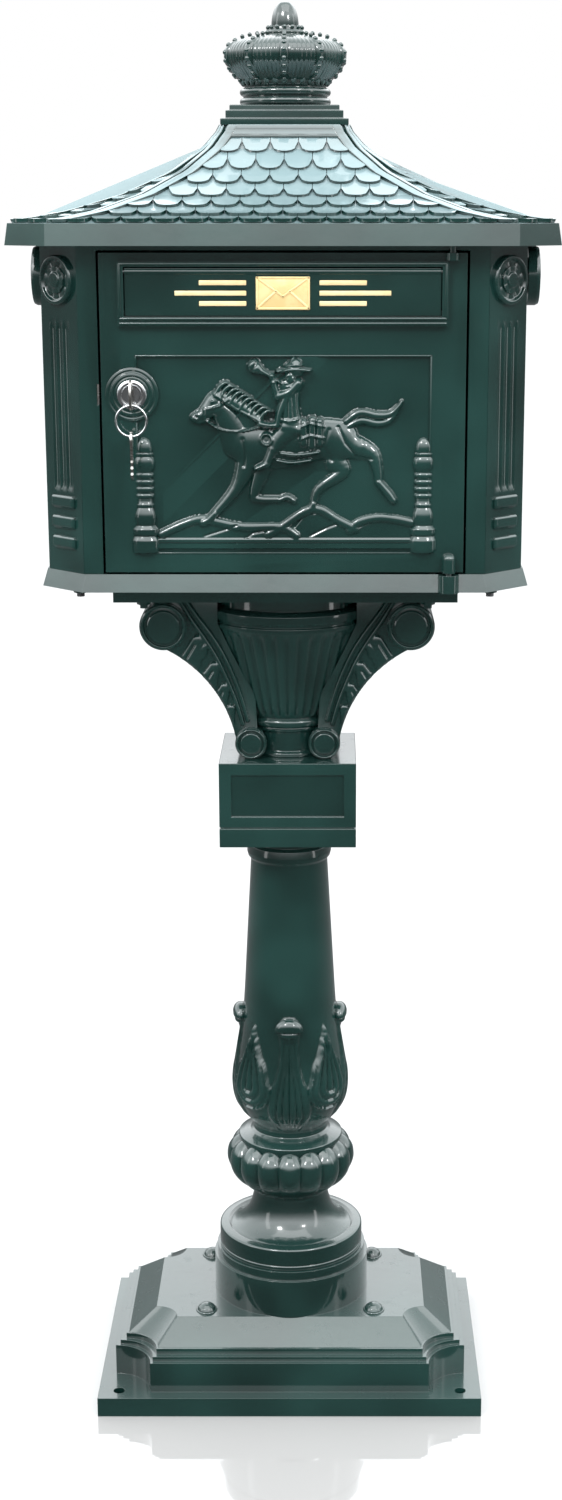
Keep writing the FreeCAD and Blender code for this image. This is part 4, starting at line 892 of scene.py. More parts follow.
def scaleRows(shape, spot, width, long, band):
    pitch, step = roof["pitch"], roof["rowStep"]
    for row in range(roof["rows"]):
        foot = 2.0 + row * step
        for index in range(-10, 11):
            u = (index + (0.5 if row % 2 else 0)) * pitch
            if abs(u) - pitch / 2 > width(foot + step * 0.6) - band - 3:
                continue
            tile = bmesh.new()
            bmesh.ops.create_grid(tile, x_segments=8, y_segments=3, size=1)
            for vert in tile.verts:
                a, b = vert.co.x, (vert.co.y + 1) / 2
                end = step * roof["roundEnd"] * (1 - math.sqrt(max(1 - abs(a) ** 2.2, 0)))
                s = foot + end + (step * roof["overlap"] - end) * b
                s = min(s, long - 9)
                lift = roof["thick"] * (1 - b) + 0.25 + 0.5 * (1 - a * a) * (1 - b)
                edge = max(width(s) - band + 1.0, 0.1)
                side = min(max(u + a * pitch * roof["tileHalf"], -edge), edge)
                vert.co = spot(side, s, lift)
            bmesh.ops.remove_doubles(tile, verts=tile.verts, dist=0.01)
            bmesh.ops.dissolve_degenerate(tile, edges=tile.edges, dist=0.01)
            if len(tile.faces) < 6:
                tile.free()
                continue
            closedBack(tile, spot(u, foot + 4, 0) - spot(u, foot + 4, roof["tileDeep"]))
            bmesh.ops.recalc_face_normals(tile, faces=tile.faces)
            added(shape, tile)


def bandStrip(shape, spot, width, s0, s1, side, band, lift):
    # A raised flat band along one edge of a roof face.
    stripe = bmesh.new()
    bmesh.ops.create_grid(stripe, x_segments=3, y_segments=28, size=1)
    for vert in stripe.verts:
        s = s0 + (vert.co.y + 1) / 2 * (s1 - s0)
        edge = width(s)
        inner = max(edge - band, 0)
        u = side * (inner + (vert.co.x + 1) / 2 * (edge - inner - 0.3))
        vert.co = spot(u, s, lift)
    u, s = side * width(s1 * 0.5), s1 * 0.5
    closeStrip(shape, stripe, spot(u, s, 0) - spot(u, s, lift + 1.2))


def closeStrip(shape, stripe, down):
    closedBack(stripe, down)
    bmesh.ops.recalc_face_normals(stripe, faces=stripe.faces)
    soften(stripe, 0.5, 2, 50)
    added(shape, stripe)


def roofDress():
    shape = bmesh.new()
    faces = [("front", 0, -1), ("front", 0, 1), ("side", -1, 0), ("side", 1, 0)]
    faces += [("hip", sx, sy) for sx in (-1, 1) for sy in (-1, 1)]
    for kind, sx, sy in faces:
        spot, width, long = roofFace(kind, sx, sy)
        band = roof["hipBand" if kind == "hip" else "band"]
        scaleRows(shape, spot, width, long, band)
        for side in (-1, 1):
            bandStrip(shape, spot, width, 1.5, long - 1, side, band, roof["thick"] + 0.5)
        if kind != "hip":
            top = bmesh.new()
            bmesh.ops.create_grid(top, x_segments=12, y_segments=3, size=1)
            for vert in top.verts:
                s = long - 11 + (vert.co.y + 1) / 2 * roof["topBand"]
                vert.co = spot(vert.co.x * (width(s) - 1), s, roof["thick"] + 0.4)
            closeStrip(shape, top, spot(0, long - 6, 0) - spot(0, long - 6, roof["thick"] + 1.2))
    piece = finishPiece("roofScales", shape, "post", "green_casting", crease=40, merge=0,
                        outward=False)
    piece.data.materials[0] = roofFinish


roofDress()

# Crown: moulded foot, fluted cushion with beaded ribs, collar beads and a knob.
crown = {"footRadius": 35.4, "ribs": 10, "ribRise": 1.3, "ribHalf": 3.4, "flutes": 80,
         "fluteDepth": 0.7, "beads": 10, "bead": 2.1, "beadOut": 0.7, "collarBeads": 14,
         "collarBead": 1.75, "collarRadius": 13.3, "collarUp": 58.2, "facets": 8, "petals": 30,
         "petal": 2.6, "petalRadius": 34.6, "petalUp": 18.6}


def ringPlace(radius, angle, up):
    return radius * math.cos(angle), radius * math.sin(angle), up


def crownFinial():
    low, high = millimetres("crown_finial")
    z, ring = low.z, crown["footRadius"]
    line = softLine([(4, z), (ring - 0.6, z, 0.4)])
    for foot in (z + 0.4, z + 7.4):
        line += [(ring - 3.1 + 3.1 * math.cos(a), foot + 3.0 + 3.0 * math.sin(a))
                 for a in np.linspace(-1.45, 1.45, 8)]
    line += softLine([(ring - 3.6, z + 13.8), (ring - 3.4, z + 15.2, 0.5)])
    belly = flowing([(ring - 3.0, z + 16.2), (ring + 1.5, z + 20), (ring + 7.2, z + 26),
                     (ring + 11.2, z + 32.5), (ring + 12.0, z + 38), (ring + 10.5, z + 43),
                     (ring + 5.5, z + 47.3), (ring - 3, z + 50.4), (24, z + 52.2),
                     (18.6, z + 53.0)], 5)
    line += belly
    line += softLine([(16.8, z + 53.0), (16.8, z + 54.8, 0.8), (15.4, z + 56.2, 0.6),
                      (13.8, z + 56.4), (13.4, z + 57.0), (13.2, z + 59.0)])
    line += flowing([(10.6, z + 59.6), (10.4, z + 63), (9.5, z + 68), (7.6, z + 73),
                     (5.0, z + 76.2), (2.6, z + 77), (0, high.z)], 4)
    shape = turn(line + [(0, z + 29), (4, z + 29)], crown["flutes"] * 4, True)
    sector = fullTurn / crown["ribs"]

    def flute(angle, radius, height):
        part = ease(height, z + 18, z + 23) * (1 - ease(height, z + 51, z + 53))
        if radius < 14 or height < z + 17 or height > z + 53:
            if height > z + 59.5 and radius > 3:  # knob facets
                width = fullTurn / crown["facets"]
                facet = math.cos((angle + math.pi / 2) % width - width / 2)
                return radius * (1 - 0.35 * (facet - 0.92)), height
            return radius, height
        wave = 0.5 + 0.5 * math.cos(angle * crown["flutes"])
        rib = abs(((angle + math.pi / 2 + sector / 2) % sector) - sector / 2) * radius
        swell = crown["ribRise"] * max(1 - (rib / crown["ribHalf"]) ** 2, 0) ** 0.5
        shrink = min(radius / 40, 1)
        return radius + float(part) * (swell - crown["fluteDepth"] * shrink * wave
                                       * float(ease(rib, 2.5, 4))), height

    carve(shape, flute)
    lengths = np.cumsum([0] + [math.dist(a, b) for a, b in zip(belly, belly[1:])])
    for rib in range(crown["ribs"]):
        angle = -math.pi / 2 + rib * sector
        for index in range(crown["beads"]):
            s = lengths[-1] * (0.07 + 0.88 * index / (crown["beads"] - 1))
            r = np.interp(s, lengths, [p[0] for p in belly]) + crown["beadOut"]
            up = np.interp(s, lengths, [p[1] for p in belly])
            up += 1.2 if index > 6 else 0  # the top beads sit on a flatter slope
            size = crown["bead"] * (1 if 0 < index < 7 else 0.8)
            added(shape, bead(ringPlace(r, angle, up), size))
    for index in range(crown["collarBeads"]):
        angle = fullTurn * (index + 0.5) / crown["collarBeads"]
        added(shape, bead(ringPlace(crown["collarRadius"], angle, z + crown["collarUp"]),
                          crown["collarBead"]))
    for index in range(crown["petals"]):  # small petals round the foot of the cushion
        angle = fullTurn * (index + 0.5) / crown["petals"]
        petal = bead((0, 0, 0), crown["petal"], 1.7)
        bmesh.ops.scale(petal, vec=(0.55, 1, 1), verts=petal.verts)
        at = Matrix.Translation(ringPlace(crown["petalRadius"], angle, z + crown["petalUp"]))
        bmesh.ops.transform(petal, matrix=at @ Matrix.Rotation(angle, 4, "Z")
                            @ Matrix.Rotation(0.5, 4, "Y"), verts=petal.verts)
        added(shape, petal)
    finishPiece("crownFinial", shape, "post", "green_casting", ["crown_finial"], crease=55,
                merge=0, outward=False)


crownFinial()
print("roof and crown ready")


# Door picture: a rider sounding a horn over low hills, cast in one plate.
picture = {"floor": -125.0, "ground": 0.2, "step": 0.6, "margin": 0.3, "depth": 1.25,
           "top": 890.0, "locks": 10, "postX": 105.2, "postFlat": 0.72, "postSunk": 0.6,
           "postRings": (43.2, 48.4, 53.6, 58.8)}


def drawHills(relief):
    for line, wide in (([(-93, 757), (-78, 764), (-63, 768.5), (-50, 766), (-31, 762.5),
                         (-3, 762.5), (9, 756)], 3.3),
                       ([(-12, 757), (-0.7, 763.5), (16, 774.5), (27.4, 775.5), (40, 768),
                         (54, 761)], 3.4),
                       ([(50, 760), (56, 766), (70, 769.5), (84, 768.5), (96, 766)], 3.4)):
        relief.limb(line, wide, 2.9, 0.4, 0.35)
    crest = np.interp(relief.x, [-96, -80, -63, -50, -31, -3, 8, 16, 27, 40, 54, 60, 70, 84, 96],
                      [755, 762, 768, 765.5, 762, 762, 764, 774, 775, 768, 762, 766, 769, 768,
                       765])
    under = ease(crest - relief.z, 0, 3) * (np.abs(relief.x) < 97)
    relief.swell(under * 1.1, 0.4)
    relief.groove([(-60, 756), (-44, 761), (-36, 764)], 0.9, 0.7)
    relief.groove([(-30, 753), (-24, 758), (-14, 760)], 0.9, 0.7)
    relief.groove([(20, 756), (32, 762), (40, 765)], 0.9, 0.7)
    for low, high, rise in ((746.2, 750.4, 3.4), (750.4, 754.0, 2.2)):
        step = ease(relief.z, low - 0.3, low + 0.5) * (1 - ease(relief.z, high - 0.4, high + 0.5))
        relief.swell(step * rise * (np.abs(relief.x) < 97), 0.2)


def drawHorse(relief):
    far, near = 2.7, 3.5
    # far legs first, then the barrel, then what lies over it
    relief.limb([(-16, 806), (-22.7, 787.5), (-19, 783.6), (-3, 783.4)], [6.4, 3.9, 3.1, 2.7], far)
    relief.limb([(-3, 783.4), (2.5, 785.2), (7, 782.5)], [2.4, 2.8, 2.9], far + 0.5)
    relief.limb([(39, 811), (44.0, 804), (27, 792), (22.6, 781.5)], [8.4, 5.4, 3.8, 3.0], far)
    relief.limb([(22.3, 780), (21.3, 776.5)], [2.9, 4.0], far + 0.6)
    relief.limb([(-27, 824), (-8, 823), (12, 826), (28, 829), (41, 828)],
                [15, 16.5, 16, 15.5, 15.5], 4.4, 1.5)
    relief.limb([(44, 826), (56, 822)], [13.5, 7.5], 4.4, 1.5)
    relief.limb([(-36, 826), (-40, 838), (-46, 850), (-51, 856)], [12, 10.5, 8.5, 7.5], 4.0, 1.5)
    relief.limb([(-50.5, 856), (-57, 850), (-62, 846.2)], [8.4, 6.2, 4.4], 4.4, 1.0)
    relief.limb([(-63, 846.4), (-66.5, 844.6)], [4.6, 3.9], 4.4, 0.8)
    relief.limb([(-57, 843.5), (-64, 841.6)], [2.5, 2.0], 3.4, 0.8)
    relief.limb([(-49.6, 851)], [6.0], 5.2, 1.2)
    relief.limb([(-48.5, 862), (-46.6, 868.5)], [2.2, 1.1], 4.2, 0.5)
    # near legs
    relief.limb([(-27, 812), (-36, 792), (-52.5, 773)], [8.8, 4.8, 3.3], near, 1.0)
    relief.limb([(-52.5, 773), (-57, 768.5), (-61, 766.2)], [3.0, 3.4, 3.8], near + 0.6, 0.6)
    relief.limb([(53, 823), (66, 818), (70.6, 806), (71.6, 796.5)], [9.4, 6.0, 3.9, 3.2], near, 1.0)
    relief.limb([(71.6, 796.5), (78.4, 788.4), (82.5, 783)], [3.0, 3.6, 3.2], near + 0.6, 0.6)
    # mane of short locks, then the reins and bridle
    relief.limb([(-50, 862), (-40, 857.5), (-29, 851), (-18, 843.5)], [4, 5.6, 5.6, 4], 5.0, 0.5)
    for index in range(picture["locks"]):
        part = index / (picture["locks"] - 1)
        x, z = -47 + 32 * part, 868.5 - 20.5 * part
        relief.limb([(x - 3.4, z - 5.5), (x - 0.4, z - 0.6), (x + 3.4, z + 2.2),
                     (x + 7.4, z + 1.4)], [1.9, 2.3, 1.9, 0.6], 4.9 + 0.5 * (index % 2), 0.15)
    relief.ridge([(-49.5, 861), (-36, 851.5), (-18, 842.5)], 0.9, 1.0)
    relief.groove([(-47.5, 857.5), (-35, 848.5), (-20, 840)], 0.8, 0.8)
    for strap in ([(-56.5, 851.5), (-48, 853.8), (-41.5, 858.5)], [(-59.5, 851.5), (-58.5, 842.5)],
                  [(-48, 854), (-46, 862)]):
        relief.ridge(strap, 0.75, 1.1)
    relief.limb([(-57, 842), (-50, 837.5), (-42, 835.2), (-31, 835), (-20.5, 837.5),
                 (-14, 840.6)], 1.05, 5.0, 0.2)
    relief.limb([(-53.2, 857.0)], [1.7], 5.9, 0.3)
    relief.groove([(-65.8, 845.8), (-64.6, 845.2)], 0.8, 1.1)
    # tail in two strands
    relief.limb([(47, 842), (57, 848.6), (70, 846.5), (80, 847.5), (86.5, 853.5), (88.4, 857)],
                [3.0, 3.2, 3.2, 2.8, 2.0, 1.0], 3.4, 0.5)
    relief.limb([(48, 838), (58, 842.6), (70, 840.5), (79, 842.5), (85, 849.5)],
                [2.6, 3.0, 3.0, 2.6, 1.2], 3.0, 0.4)
    # muscle lines
    relief.groove([(-31, 829), (-29, 818), (-30, 809)], 1.1, 1.0)
    relief.groove([(41, 838), (46.5, 826), (55, 816), (66, 814)], 1.1, 1.1)
    relief.groove([(34, 836), (30, 824), (36, 813)], 1.3, 0.7)


def drawRider(relief):
    # saddle roll with its folds
    relief.limb([(15, 826), (15, 841)], [5, 4], 6.2, 0.6)
    relief.limb([(21, 824), (21.5, 843)], [5, 4], 6.0, 0.6)
    relief.limb([(27, 826), (27, 842)], [4.4, 3.6], 5.8, 0.6)
    relief.ridge([(12, 838), (20, 841), (30, 838.5)], 0.8, 0.9)
    relief.ridge([(12, 829), (20, 832), (30, 830)], 0.8, 0.9)
    # leg, straps, stirrup and boot
    relief.limb([(6, 838), (-3, 829), (-7, 822)], [9.5, 8, 6], 6.8, 1.2)
    relief.limb([(-8, 821), (-11.5, 813.5), (-13.5, 810)], [5.2, 4.2, 4.0], 6.6, 0.9)
    relief.limb([(-12.5, 810.5), (-21, 807.2)], [3.8, 2.2], 6.8, 0.6)
    relief.limb([(-2, 818.6), (10, 817.4), (26, 819.4)], 1.9, 6.0, 0.25)
    relief.limb([(-5, 813.2), (6, 811.6), (20, 813.4)], 1.8, 5.6, 0.25)
    near = relief.away([(-13, 829)], [1.0])[1]
    relief.h = relief.h + 1.6 * np.exp(-((near - 4.0) / 0.9) ** 2)
    # coat: torso, skirt and folds
    relief.limb([(4.5, 842), (3.6, 855), (3.4, 868)], [9.4, 8.4, 9.6], 6.6, 1.2)
    relief.limb([(1, 838), (11, 836)], [6, 5], 6.8, 1.0)
    for x in (-1.2, 3.2, 7.8):
        relief.groove([(x, 845), (x * 0.8 + 0.6, 860)], 0.9, 0.8)
    relief.ridge([(-5, 844.5), (4, 842.5), (13, 844.5)], 1.0, 0.9)
    # rein arm, then the horn arm over the chest
    relief.limb([(2.5, 862), (-2.5, 850), (-5, 839.5)], [4.0, 3.6, 3.0], 7.4, 0.7)
    relief.limb([(-5, 839.5), (-12, 839.6), (-17.5, 840.6)], [3.0, 2.6, 2.8], 7.2, 0.5)
    relief.ridge([(-9.5, 836.6), (-9.5, 842.8)], 0.7, 0.8)
    relief.limb([(11, 870.5), (4, 864), (-4.5, 861)], [4.6, 4.4, 4.0], 8.0, 0.7)
    relief.limb([(-4.5, 861), (-6.4, 868), (-8, 875.2)], [4.0, 3.4, 3.0], 7.8, 0.5)
    relief.limb([(-8.6, 876)], [3.5], 8.4, 0.4)
    relief.ridge([(-9.8, 871), (-4.4, 872)], 0.7, 0.8)
    # horn
    relief.limb([(-1.6, 870.4), (-8, 875), (-16, 879.5)], [1.3, 1.9, 2.6], 6.6, 0.2)
    relief.limb([(-16, 879.5), (-21.5, 882.6)], [3.0, 5.6], 6.2, 0.2, 0.35)
    relief.groove([(-19.4, 886.4), (-24.2, 879)], 1.3, 1.4)
    # head and hat
    relief.limb([(5.2, 873.2), (5.0, 876)], [5.4, 5.2], 7.0, 0.4)
    relief.limb([(0.4, 873.6)], [1.5], 7.0, 0.3)
    relief.ridge([(1.0, 876.0), (3.0, 876.2)], 0.6, 0.5)
    relief.ridge([(1.2, 870.6), (3.0, 870.4)], 0.55, 0.4)
    relief.groove([(1.4, 874.9), (2.8, 874.9)], 0.5, 0.5)
    relief.ridge([(7.6, 874.6), (7.4, 872.6)], 0.8, 0.6)
    relief.limb([(6.8, 868.6), (2.6, 868)], [2.2, 1.8], 7.2, 0.4)
    relief.limb([(-4.2, 879.6), (8, 880.6), (20, 880.2)], [1.5, 1.9, 1.5], 8.0, 0.2, 0.4)
    relief.limb([(8.6, 881.6), (9.4, 884)], [8.2, 6.2], 7.2, 0.4)
    relief.ridge([(1.4, 883.2), (9, 884.0), (16.4, 883.4)], 0.7, 0.7)
    relief.limb([(10, 889.6)], [1.5], 6.4, 0.3)


def drawPicture(relief):
    drawHills(relief)
    drawHorse(relief)
    drawRider(relief)
    relief.h = relief.h * picture["depth"]


def onDoor(x, z, height):
    return Vector((x, picture["floor"] - picture["ground"] - height, z))


def doorPicture():
    edge = picture["margin"]
    halfWide = millimetres("relief_bollard_right")[1].x - edge
    foot = millimetres("relief_hills")[0].z - 1 + edge
    shape = patch(((-halfWide, halfWide), (foot, picture["top"] - edge)), picture["step"],
                  drawPicture, onDoor, sunk=0, back=0.8, whole=True)
    bmesh.ops.recalc_face_normals(shape, faces=shape.faces)
    finishPiece("doorPicture", shape, "door", "green_casting", ["relief_hills", "relief_rider"],
                crease=70, merge=0, outward=False)


def picturePost(side, node):
    z = millimetres(node)[0].z
    line = softLine([(0, z + 0.4), (10.2, z + 0.4, 1.0), (10.8, z + 3, 2), (10.8, z + 9.5, 3),
                     (9.4, z + 12.2, 0.8), (8.6, z + 12.8, 0.5), (10.0, z + 14.2, 1.5),
                     (10.0, z + 18.2, 1.5), (8.0, z + 20.2, 0.8)])
    line += flowing([(7.4, z + 20.8), (8.2, z + 24.5), (8.3, z + 28.5), (7.2, z + 32),
                     (6.2, z + 34.2)], 4)
    line += softLine([(6.8, z + 34.8, 0.6), (6.8, z + 36.8, 0.6), (5.8, z + 37.6),
                      (5.8, z + 40.4)])
    for ring in picture["postRings"]:
        line += [(5.3 + 2.0 * math.cos(a), z + ring + 2.1 * math.sin(a))
                 for a in np.linspace(-1.4, 1.4, 6)]
    line += flowing([(6.0, z + 61.8), (7.6, z + 64.4), (8.2, z + 67.6), (7.6, z + 70.8),
                     (6.4, z + 72.6)], 4)
    line += softLine([(7.0, z + 73.2, 0.5), (7.0, z + 75.0, 0.5), (6.0, z + 75.8)])
    line += flowing([(6.2, z + 76.4), (6.2, z + 79.5), (5.0, z + 83.4), (2.8, z + 86.0),
                     (0, z + 87.2)], 4)
    shape = turn(line, 48)
    bmesh.ops.scale(shape, vec=(1, picture["postFlat"], 1), verts=shape.verts)
    bmesh.ops.translate(shape, vec=(side * picture["postX"], picture["floor"], 0),
                        verts=shape.verts)
    # the hidden half ends flat inside the sheet, so that it doesn't show on the door's back
    for vert in shape.verts:
        vert.co.y = min(vert.co.y, picture["floor"] + picture["postSunk"])
    finishPiece("picturePost" + sideWord(side), shape, "door", "green_casting", [node],
                crease=50)


# The recess's lip (its left bar stops either side of the lock), the lower hinge's dome and the
# rims round the slot.
edging = {"face": -127.0, "lipX": 110.9, "lipLow": 742.1, "lipHigh": 890.9, "lip": 1.3,
          "lockLow": 841, "lockHigh": 883, "domeRadius": 4.95, "domeRise": 3.4,
          "dome": (125, -131, 739), "rimIn": 1.2, "rimSunk": 0.4}


def recessLip():
    shape = bmesh.new()
    x, lip = edging["lipX"], edging["lip"]
    low, high = edging["lipLow"], edging["lipHigh"]
    for x0, x1, z0, z1 in ((-x, x, high - lip, high), (-x, lip - x, low, edging["lockLow"]),
                           (-x, lip - x, edging["lockHigh"], high), (x - lip, x, low, high),
                           (-x, x, low, low + lip)):
        added(shape, blockOf((x0, edging["face"] - 0.5, z0), (x1, edging["face"] + 0.6, z1), 0.4, 2))
    radius = edging["domeRadius"]
    dome = turn([(0, -0.5), (radius, -0.5)]
                + [(radius * math.cos(a), edging["domeRise"] * math.sin(a))
                   for a in np.linspace(0, math.pi / 2, 9)], 40)
    bmesh.ops.translate(dome, vec=edging["dome"], verts=dome.verts)
    finishPiece("doorTrim", added(shape, dome), "door", "green_casting", crease=45, merge=0,
                outward=False)


def slotRims():
    shape = bmesh.new()
    low, high = millimetres("slot_frame")
    x0, x1 = low.x + edging["rimIn"], high.x - edging["rimIn"]
    for a, b in (((x0, -1.4, low.z + 0.9), (x1, 0, low.z + 3.1)),
                 ((x0, -1.4, low.z + 4.4), (x1, 0, low.z + 6.6)),
                 ((x0, -1.2, high.z - 2.6), (x1, 0, high.z - 0.6)),
                 ((low.x + 0.8, -1.2, low.z + 5), (low.x + 2.8, 0, high.z - 1)),
                 ((high.x - 2.8, -1.2, low.z + 5), (high.x - 0.8, 0, high.z - 1))):
        added(shape, blockOf((a[0], low.y + a[1], a[2]),
                             (b[0], low.y + edging["rimSunk"], b[2]), 0.9, 3))
    finishPiece("slotRims", shape, "door", "green_casting", crease=45, merge=0, outward=False)


doorPicture()
picturePost(-1, "relief_bollard_left")
picturePost(1, "relief_bollard_right")
recessLip()
slotRims()

# Flap emblem: an envelope between three bars on each side.
emblem = {"envelope": 20.0, "line": 0.9, "barStart": 27.0, "barHigh": 3.6, "barApart": 7.5,
          "taper": 2.4, "rounding": 0.45}


def flapEmblem():
    low, high = millimetres("flap_emblem")
    face, back = low.y, high.y + 0.15
    middle = (low.z + high.z) / 2
    half, thin = emblem["envelope"], emblem["line"]
    shape = bmesh.new()
    added(shape, blockOf((-half, face + 0.25, low.z), (half, back, high.z), 0.4, 2))
    for a, b in (((-half, low.z), (half, low.z)), ((-half, high.z), (half, high.z)),
                 ((-half, low.z), (-half, high.z)), ((half, low.z), (half, high.z)),
                 ((-half, high.z), (0, middle - 2.5)), ((half, high.z), (0, middle - 2.5)),
                 ((-half, low.z), (-5, middle + 1.4)), ((half, low.z), (5, middle + 1.4))):
        start, end = Vector((a[0], 0, a[1])), Vector((b[0], 0, b[1]))
        start.x, end.x = (max(min(v.x, half - thin), -half + thin) for v in (start, end))
        start.z, end.z = (max(min(v.z, high.z - thin), low.z + thin) for v in (start, end))
        long = (end - start).length
        bar = blockOf((-thin, face - 0.35, -thin), (long + thin, face + 0.6, thin),
                      emblem["rounding"], 2)
        spin = Matrix.Rotation(-math.atan2(end.z - start.z, end.x - start.x), 4, "Y")
        bmesh.ops.transform(bar, matrix=Matrix.Translation(start) @ spin, verts=bar.verts)
        added(shape, bar)
    for side in (-1, 1):
        for up in (-emblem["barApart"], 0, emblem["barApart"]):
            reach = high.x - abs(up) * emblem["taper"]
            ends = sorted((side * emblem["barStart"], side * reach))
            added(shape, blockOf((ends[0], face - 0.1, middle + up - emblem["barHigh"] / 2),
                                 (ends[1], back, middle + up + emblem["barHigh"] / 2), 0.5, 3))
    finishPiece("flapEmblem", shape, "flap", "gold_paint", ["flap_emblem"], crease=50, merge=0,
                outward=False)


flapEmblem()
print("door ready")

# Lock: its rose and the bright bezel round the keyhole.
lock = {"x": -113.3, "z": 862.0, "face": -127.0}


def lockFace(name, node, profile, slot):
    # made looking along +Z from the door's face, so the way out is -Y
    shape = turn(softLine(profile), 72, True)
    facing(shape, (0, -1, 0), (lock["x"], lock["face"], lock["z"]))
    finishPiece(name, shape, "door", slot, [node], crease=45)


lockFace("lockRose", "lock_rose",
         [(9.7, 0.02), (19.9, 0.02), (19.9, 0.8, 0.5), (18.2, 1.3, 0.5), (17.2, 1.0, 0.4),
          (16.4, 1.2, 0.4), (15.8, 2.1, 0.6), (14.2, 2.45, 0.5), (13.2, 1.9, 0.5),
          (12.2, 2.3, 0.4), (9.7, 2.4)], "green_casting")
barrelEnd = lock["face"] - millimetres("lock_barrel")[1].y
lockFace("lockBezel", "lock_barrel",
         [(6.55, barrelEnd), (9.5, barrelEnd, 0.6), (9.5, 2.5), (11.3, 2.5, 0.3),
          (11.3, 3.3, 0.6), (10.6, 4.1, 0.8), (9.2, 4.5, 0.6), (7.7, 4.3, 0.5), (7.2, 3.7, 0.3),
          (6.55, 3.7)], "chrome_trim")


def plate(outer, holes, low, high, rounding):
    # A flat plate in Y and Z with holes, between two places along X.
    shape = bmesh.new()
    for ring in [outer] + holes:
        line = [shape.verts.new((low, y, z)) for y, z in ring]
        for a, b in zip(line, line[1:] + line[:1]):
            shape.edges.new((a, b))
    bmesh.ops.triangle_fill(shape, use_beauty=True, edges=shape.edges[:])
    grown = bmesh.ops.extrude_face_region(shape, geom=shape.faces[:])["geom"]
    bmesh.ops.translate(shape, vec=(high - low, 0, 0),
                        verts=[g for g in grown if isinstance(g, bmesh.types.BMVert)])
    bmesh.ops.recalc_face_normals(shape, faces=shape.faces)
    soften(shape, rounding, 2, 50)
    return shape


def circleOf(x, y, radius, count=28):
    return [(x + radius * math.cos(fullTurn * k / count), y + radius * math.sin(
        fullTurn * k / count)) for k in range(count)]


# Keys: the bow, the blade behind it and the bites along one edge.
keys = {"bow": 14.0, "bladeHalf": 3.4, "holeIn": 5.0, "hole": 2.4, "pitch": 2.3, "firstBite": 3.5,
        "bites": (0.2, -0.9, -0.3, -1.3, -0.5, -1.1, 0.1)}


def cutKey(name, node, upright):
    # Worked out along the key from its bow's end and across it, then set in place.
    low, high = millimetres(node)
    bow, half = keys["bow"], keys["bladeHalf"]
    if upright:  # hangs down, with the bow at the top
        middle, wide, long = (low.y + high.y) / 2, high.y - low.y, high.z - low.z
        sweep, holeAt = 2.45, (keys["holeIn"], 0)
    else:  # in the lock, with the blade running back
        middle, wide, long = lock["z"], high.z - low.z, high.y - low.y
        sweep, holeAt = 2.35, (bow / 2, low.z + keys["holeIn"] - middle)
    outline = [(min(bow / 2 * (1 - math.cos(a)), bow - 0.4), wide / 2 * math.sin(a))
               for a in np.linspace(-sweep, sweep, 25)]
    outline += [(bow + 0.5, half), (long - 2.4, half), (long, 0.6), (long - 1.6, -1.6)]
    for index, bite in enumerate(keys["bites"]):
        along = long - keys["firstBite"] - index * keys["pitch"]
        deep = max(-half - bite * 0.9, -half)
        outline += [(along, deep), (along - 1.1, deep)]
    outline.append((bow + 0.5, -half))

    def place(line):
        if upright:
            return [(middle + across, high.z - along) for along, across in line]
        return [(low.y + along, middle + across) for along, across in line]

    hole = circleOf(*holeAt, keys["hole"])
    shape = plate(place(outline), [place(hole)], low.x, high.x, 0.25)
    finishPiece(name, shape, node, "nickel_steel", [node], crease=40, merge=0)


cutKey("keyInLock", "key", False)
cutKey("keySpare", "spare_key", True)


def keyRing():
    low, high = millimetres("key_ring")
    centre = (low + high) / 2
    wire = (high.y - low.y) / 2
    radius = (high.x - low.x) / 2 - wire
    line = [(radius + wire * math.cos(a), wire * math.sin(a))
            for a in np.linspace(0, fullTurn, 17)[:-1]]
    shape = facing(turn(line, 80, True), (0, -1, 0), centre)
    finishPiece("keyRing", shape, "key_ring", "chrome_trim", ["key_ring"], crease=70)


keyRing()


# Cap bolts on the foot: domed heads on washers.
bolts = {"x": 72.7, "y": 52.8, "headRise": 6.5, "shank": 4, "washer": 8.3}


def capBolts():
    shape = bmesh.new()
    low, high = millimetres("foot_cap_bolts")
    seat, shank = high.z - bolts["headRise"], bolts["shank"]
    for sx in (-1, 1):
        for sy in (-1, 1):
            head = turn(softLine([(0, low.z), (shank, low.z, 0.6), (shank, seat - 0.2),
                                  (8.0, seat - 0.2), (8.1, seat + 1.4, 0.8),
                                  (7.0, seat + 3.4, 2.5), (4.2, seat + 5.6, 3.0),
                                  (1.6, seat + 6.4, 2.0), (0, seat + 6.4)], 5), 40)
            added(head, turn([(bolts["washer"] + 1.0 * math.cos(a), seat + 0.3 + 0.8 * math.sin(a))
                              for a in np.linspace(0, fullTurn, 9)[:-1]], 40, True))
            bmesh.ops.translate(head, vec=(sx * bolts["x"], sy * bolts["y"], 0),
                                verts=head.verts)
            added(shape, head)
    finishPiece("capBolts", shape, "post", "green_casting", ["foot_cap_bolts"], crease=45)


capBolts()

# Hardware whose drawn shape is right keeps its mesh and takes the better finish.
hardware = {"painted": ("hinge_pin_lower", "hinge_pin_upper", "tray_bolts", "tray_nuts",
                        "bracket_screws", "clamp_rod_nuts")}
for row in frame["record"]["subparts"]:
    holder = nodes[row["node"]]
    word = "green_casting" if row["node"] in hardware["painted"] else row["material_slot"]
    for index in range(len(holder.material_slots)):
        holder.material_slots[index].material = finishes[word]
print("lock, keys and hardware ready")

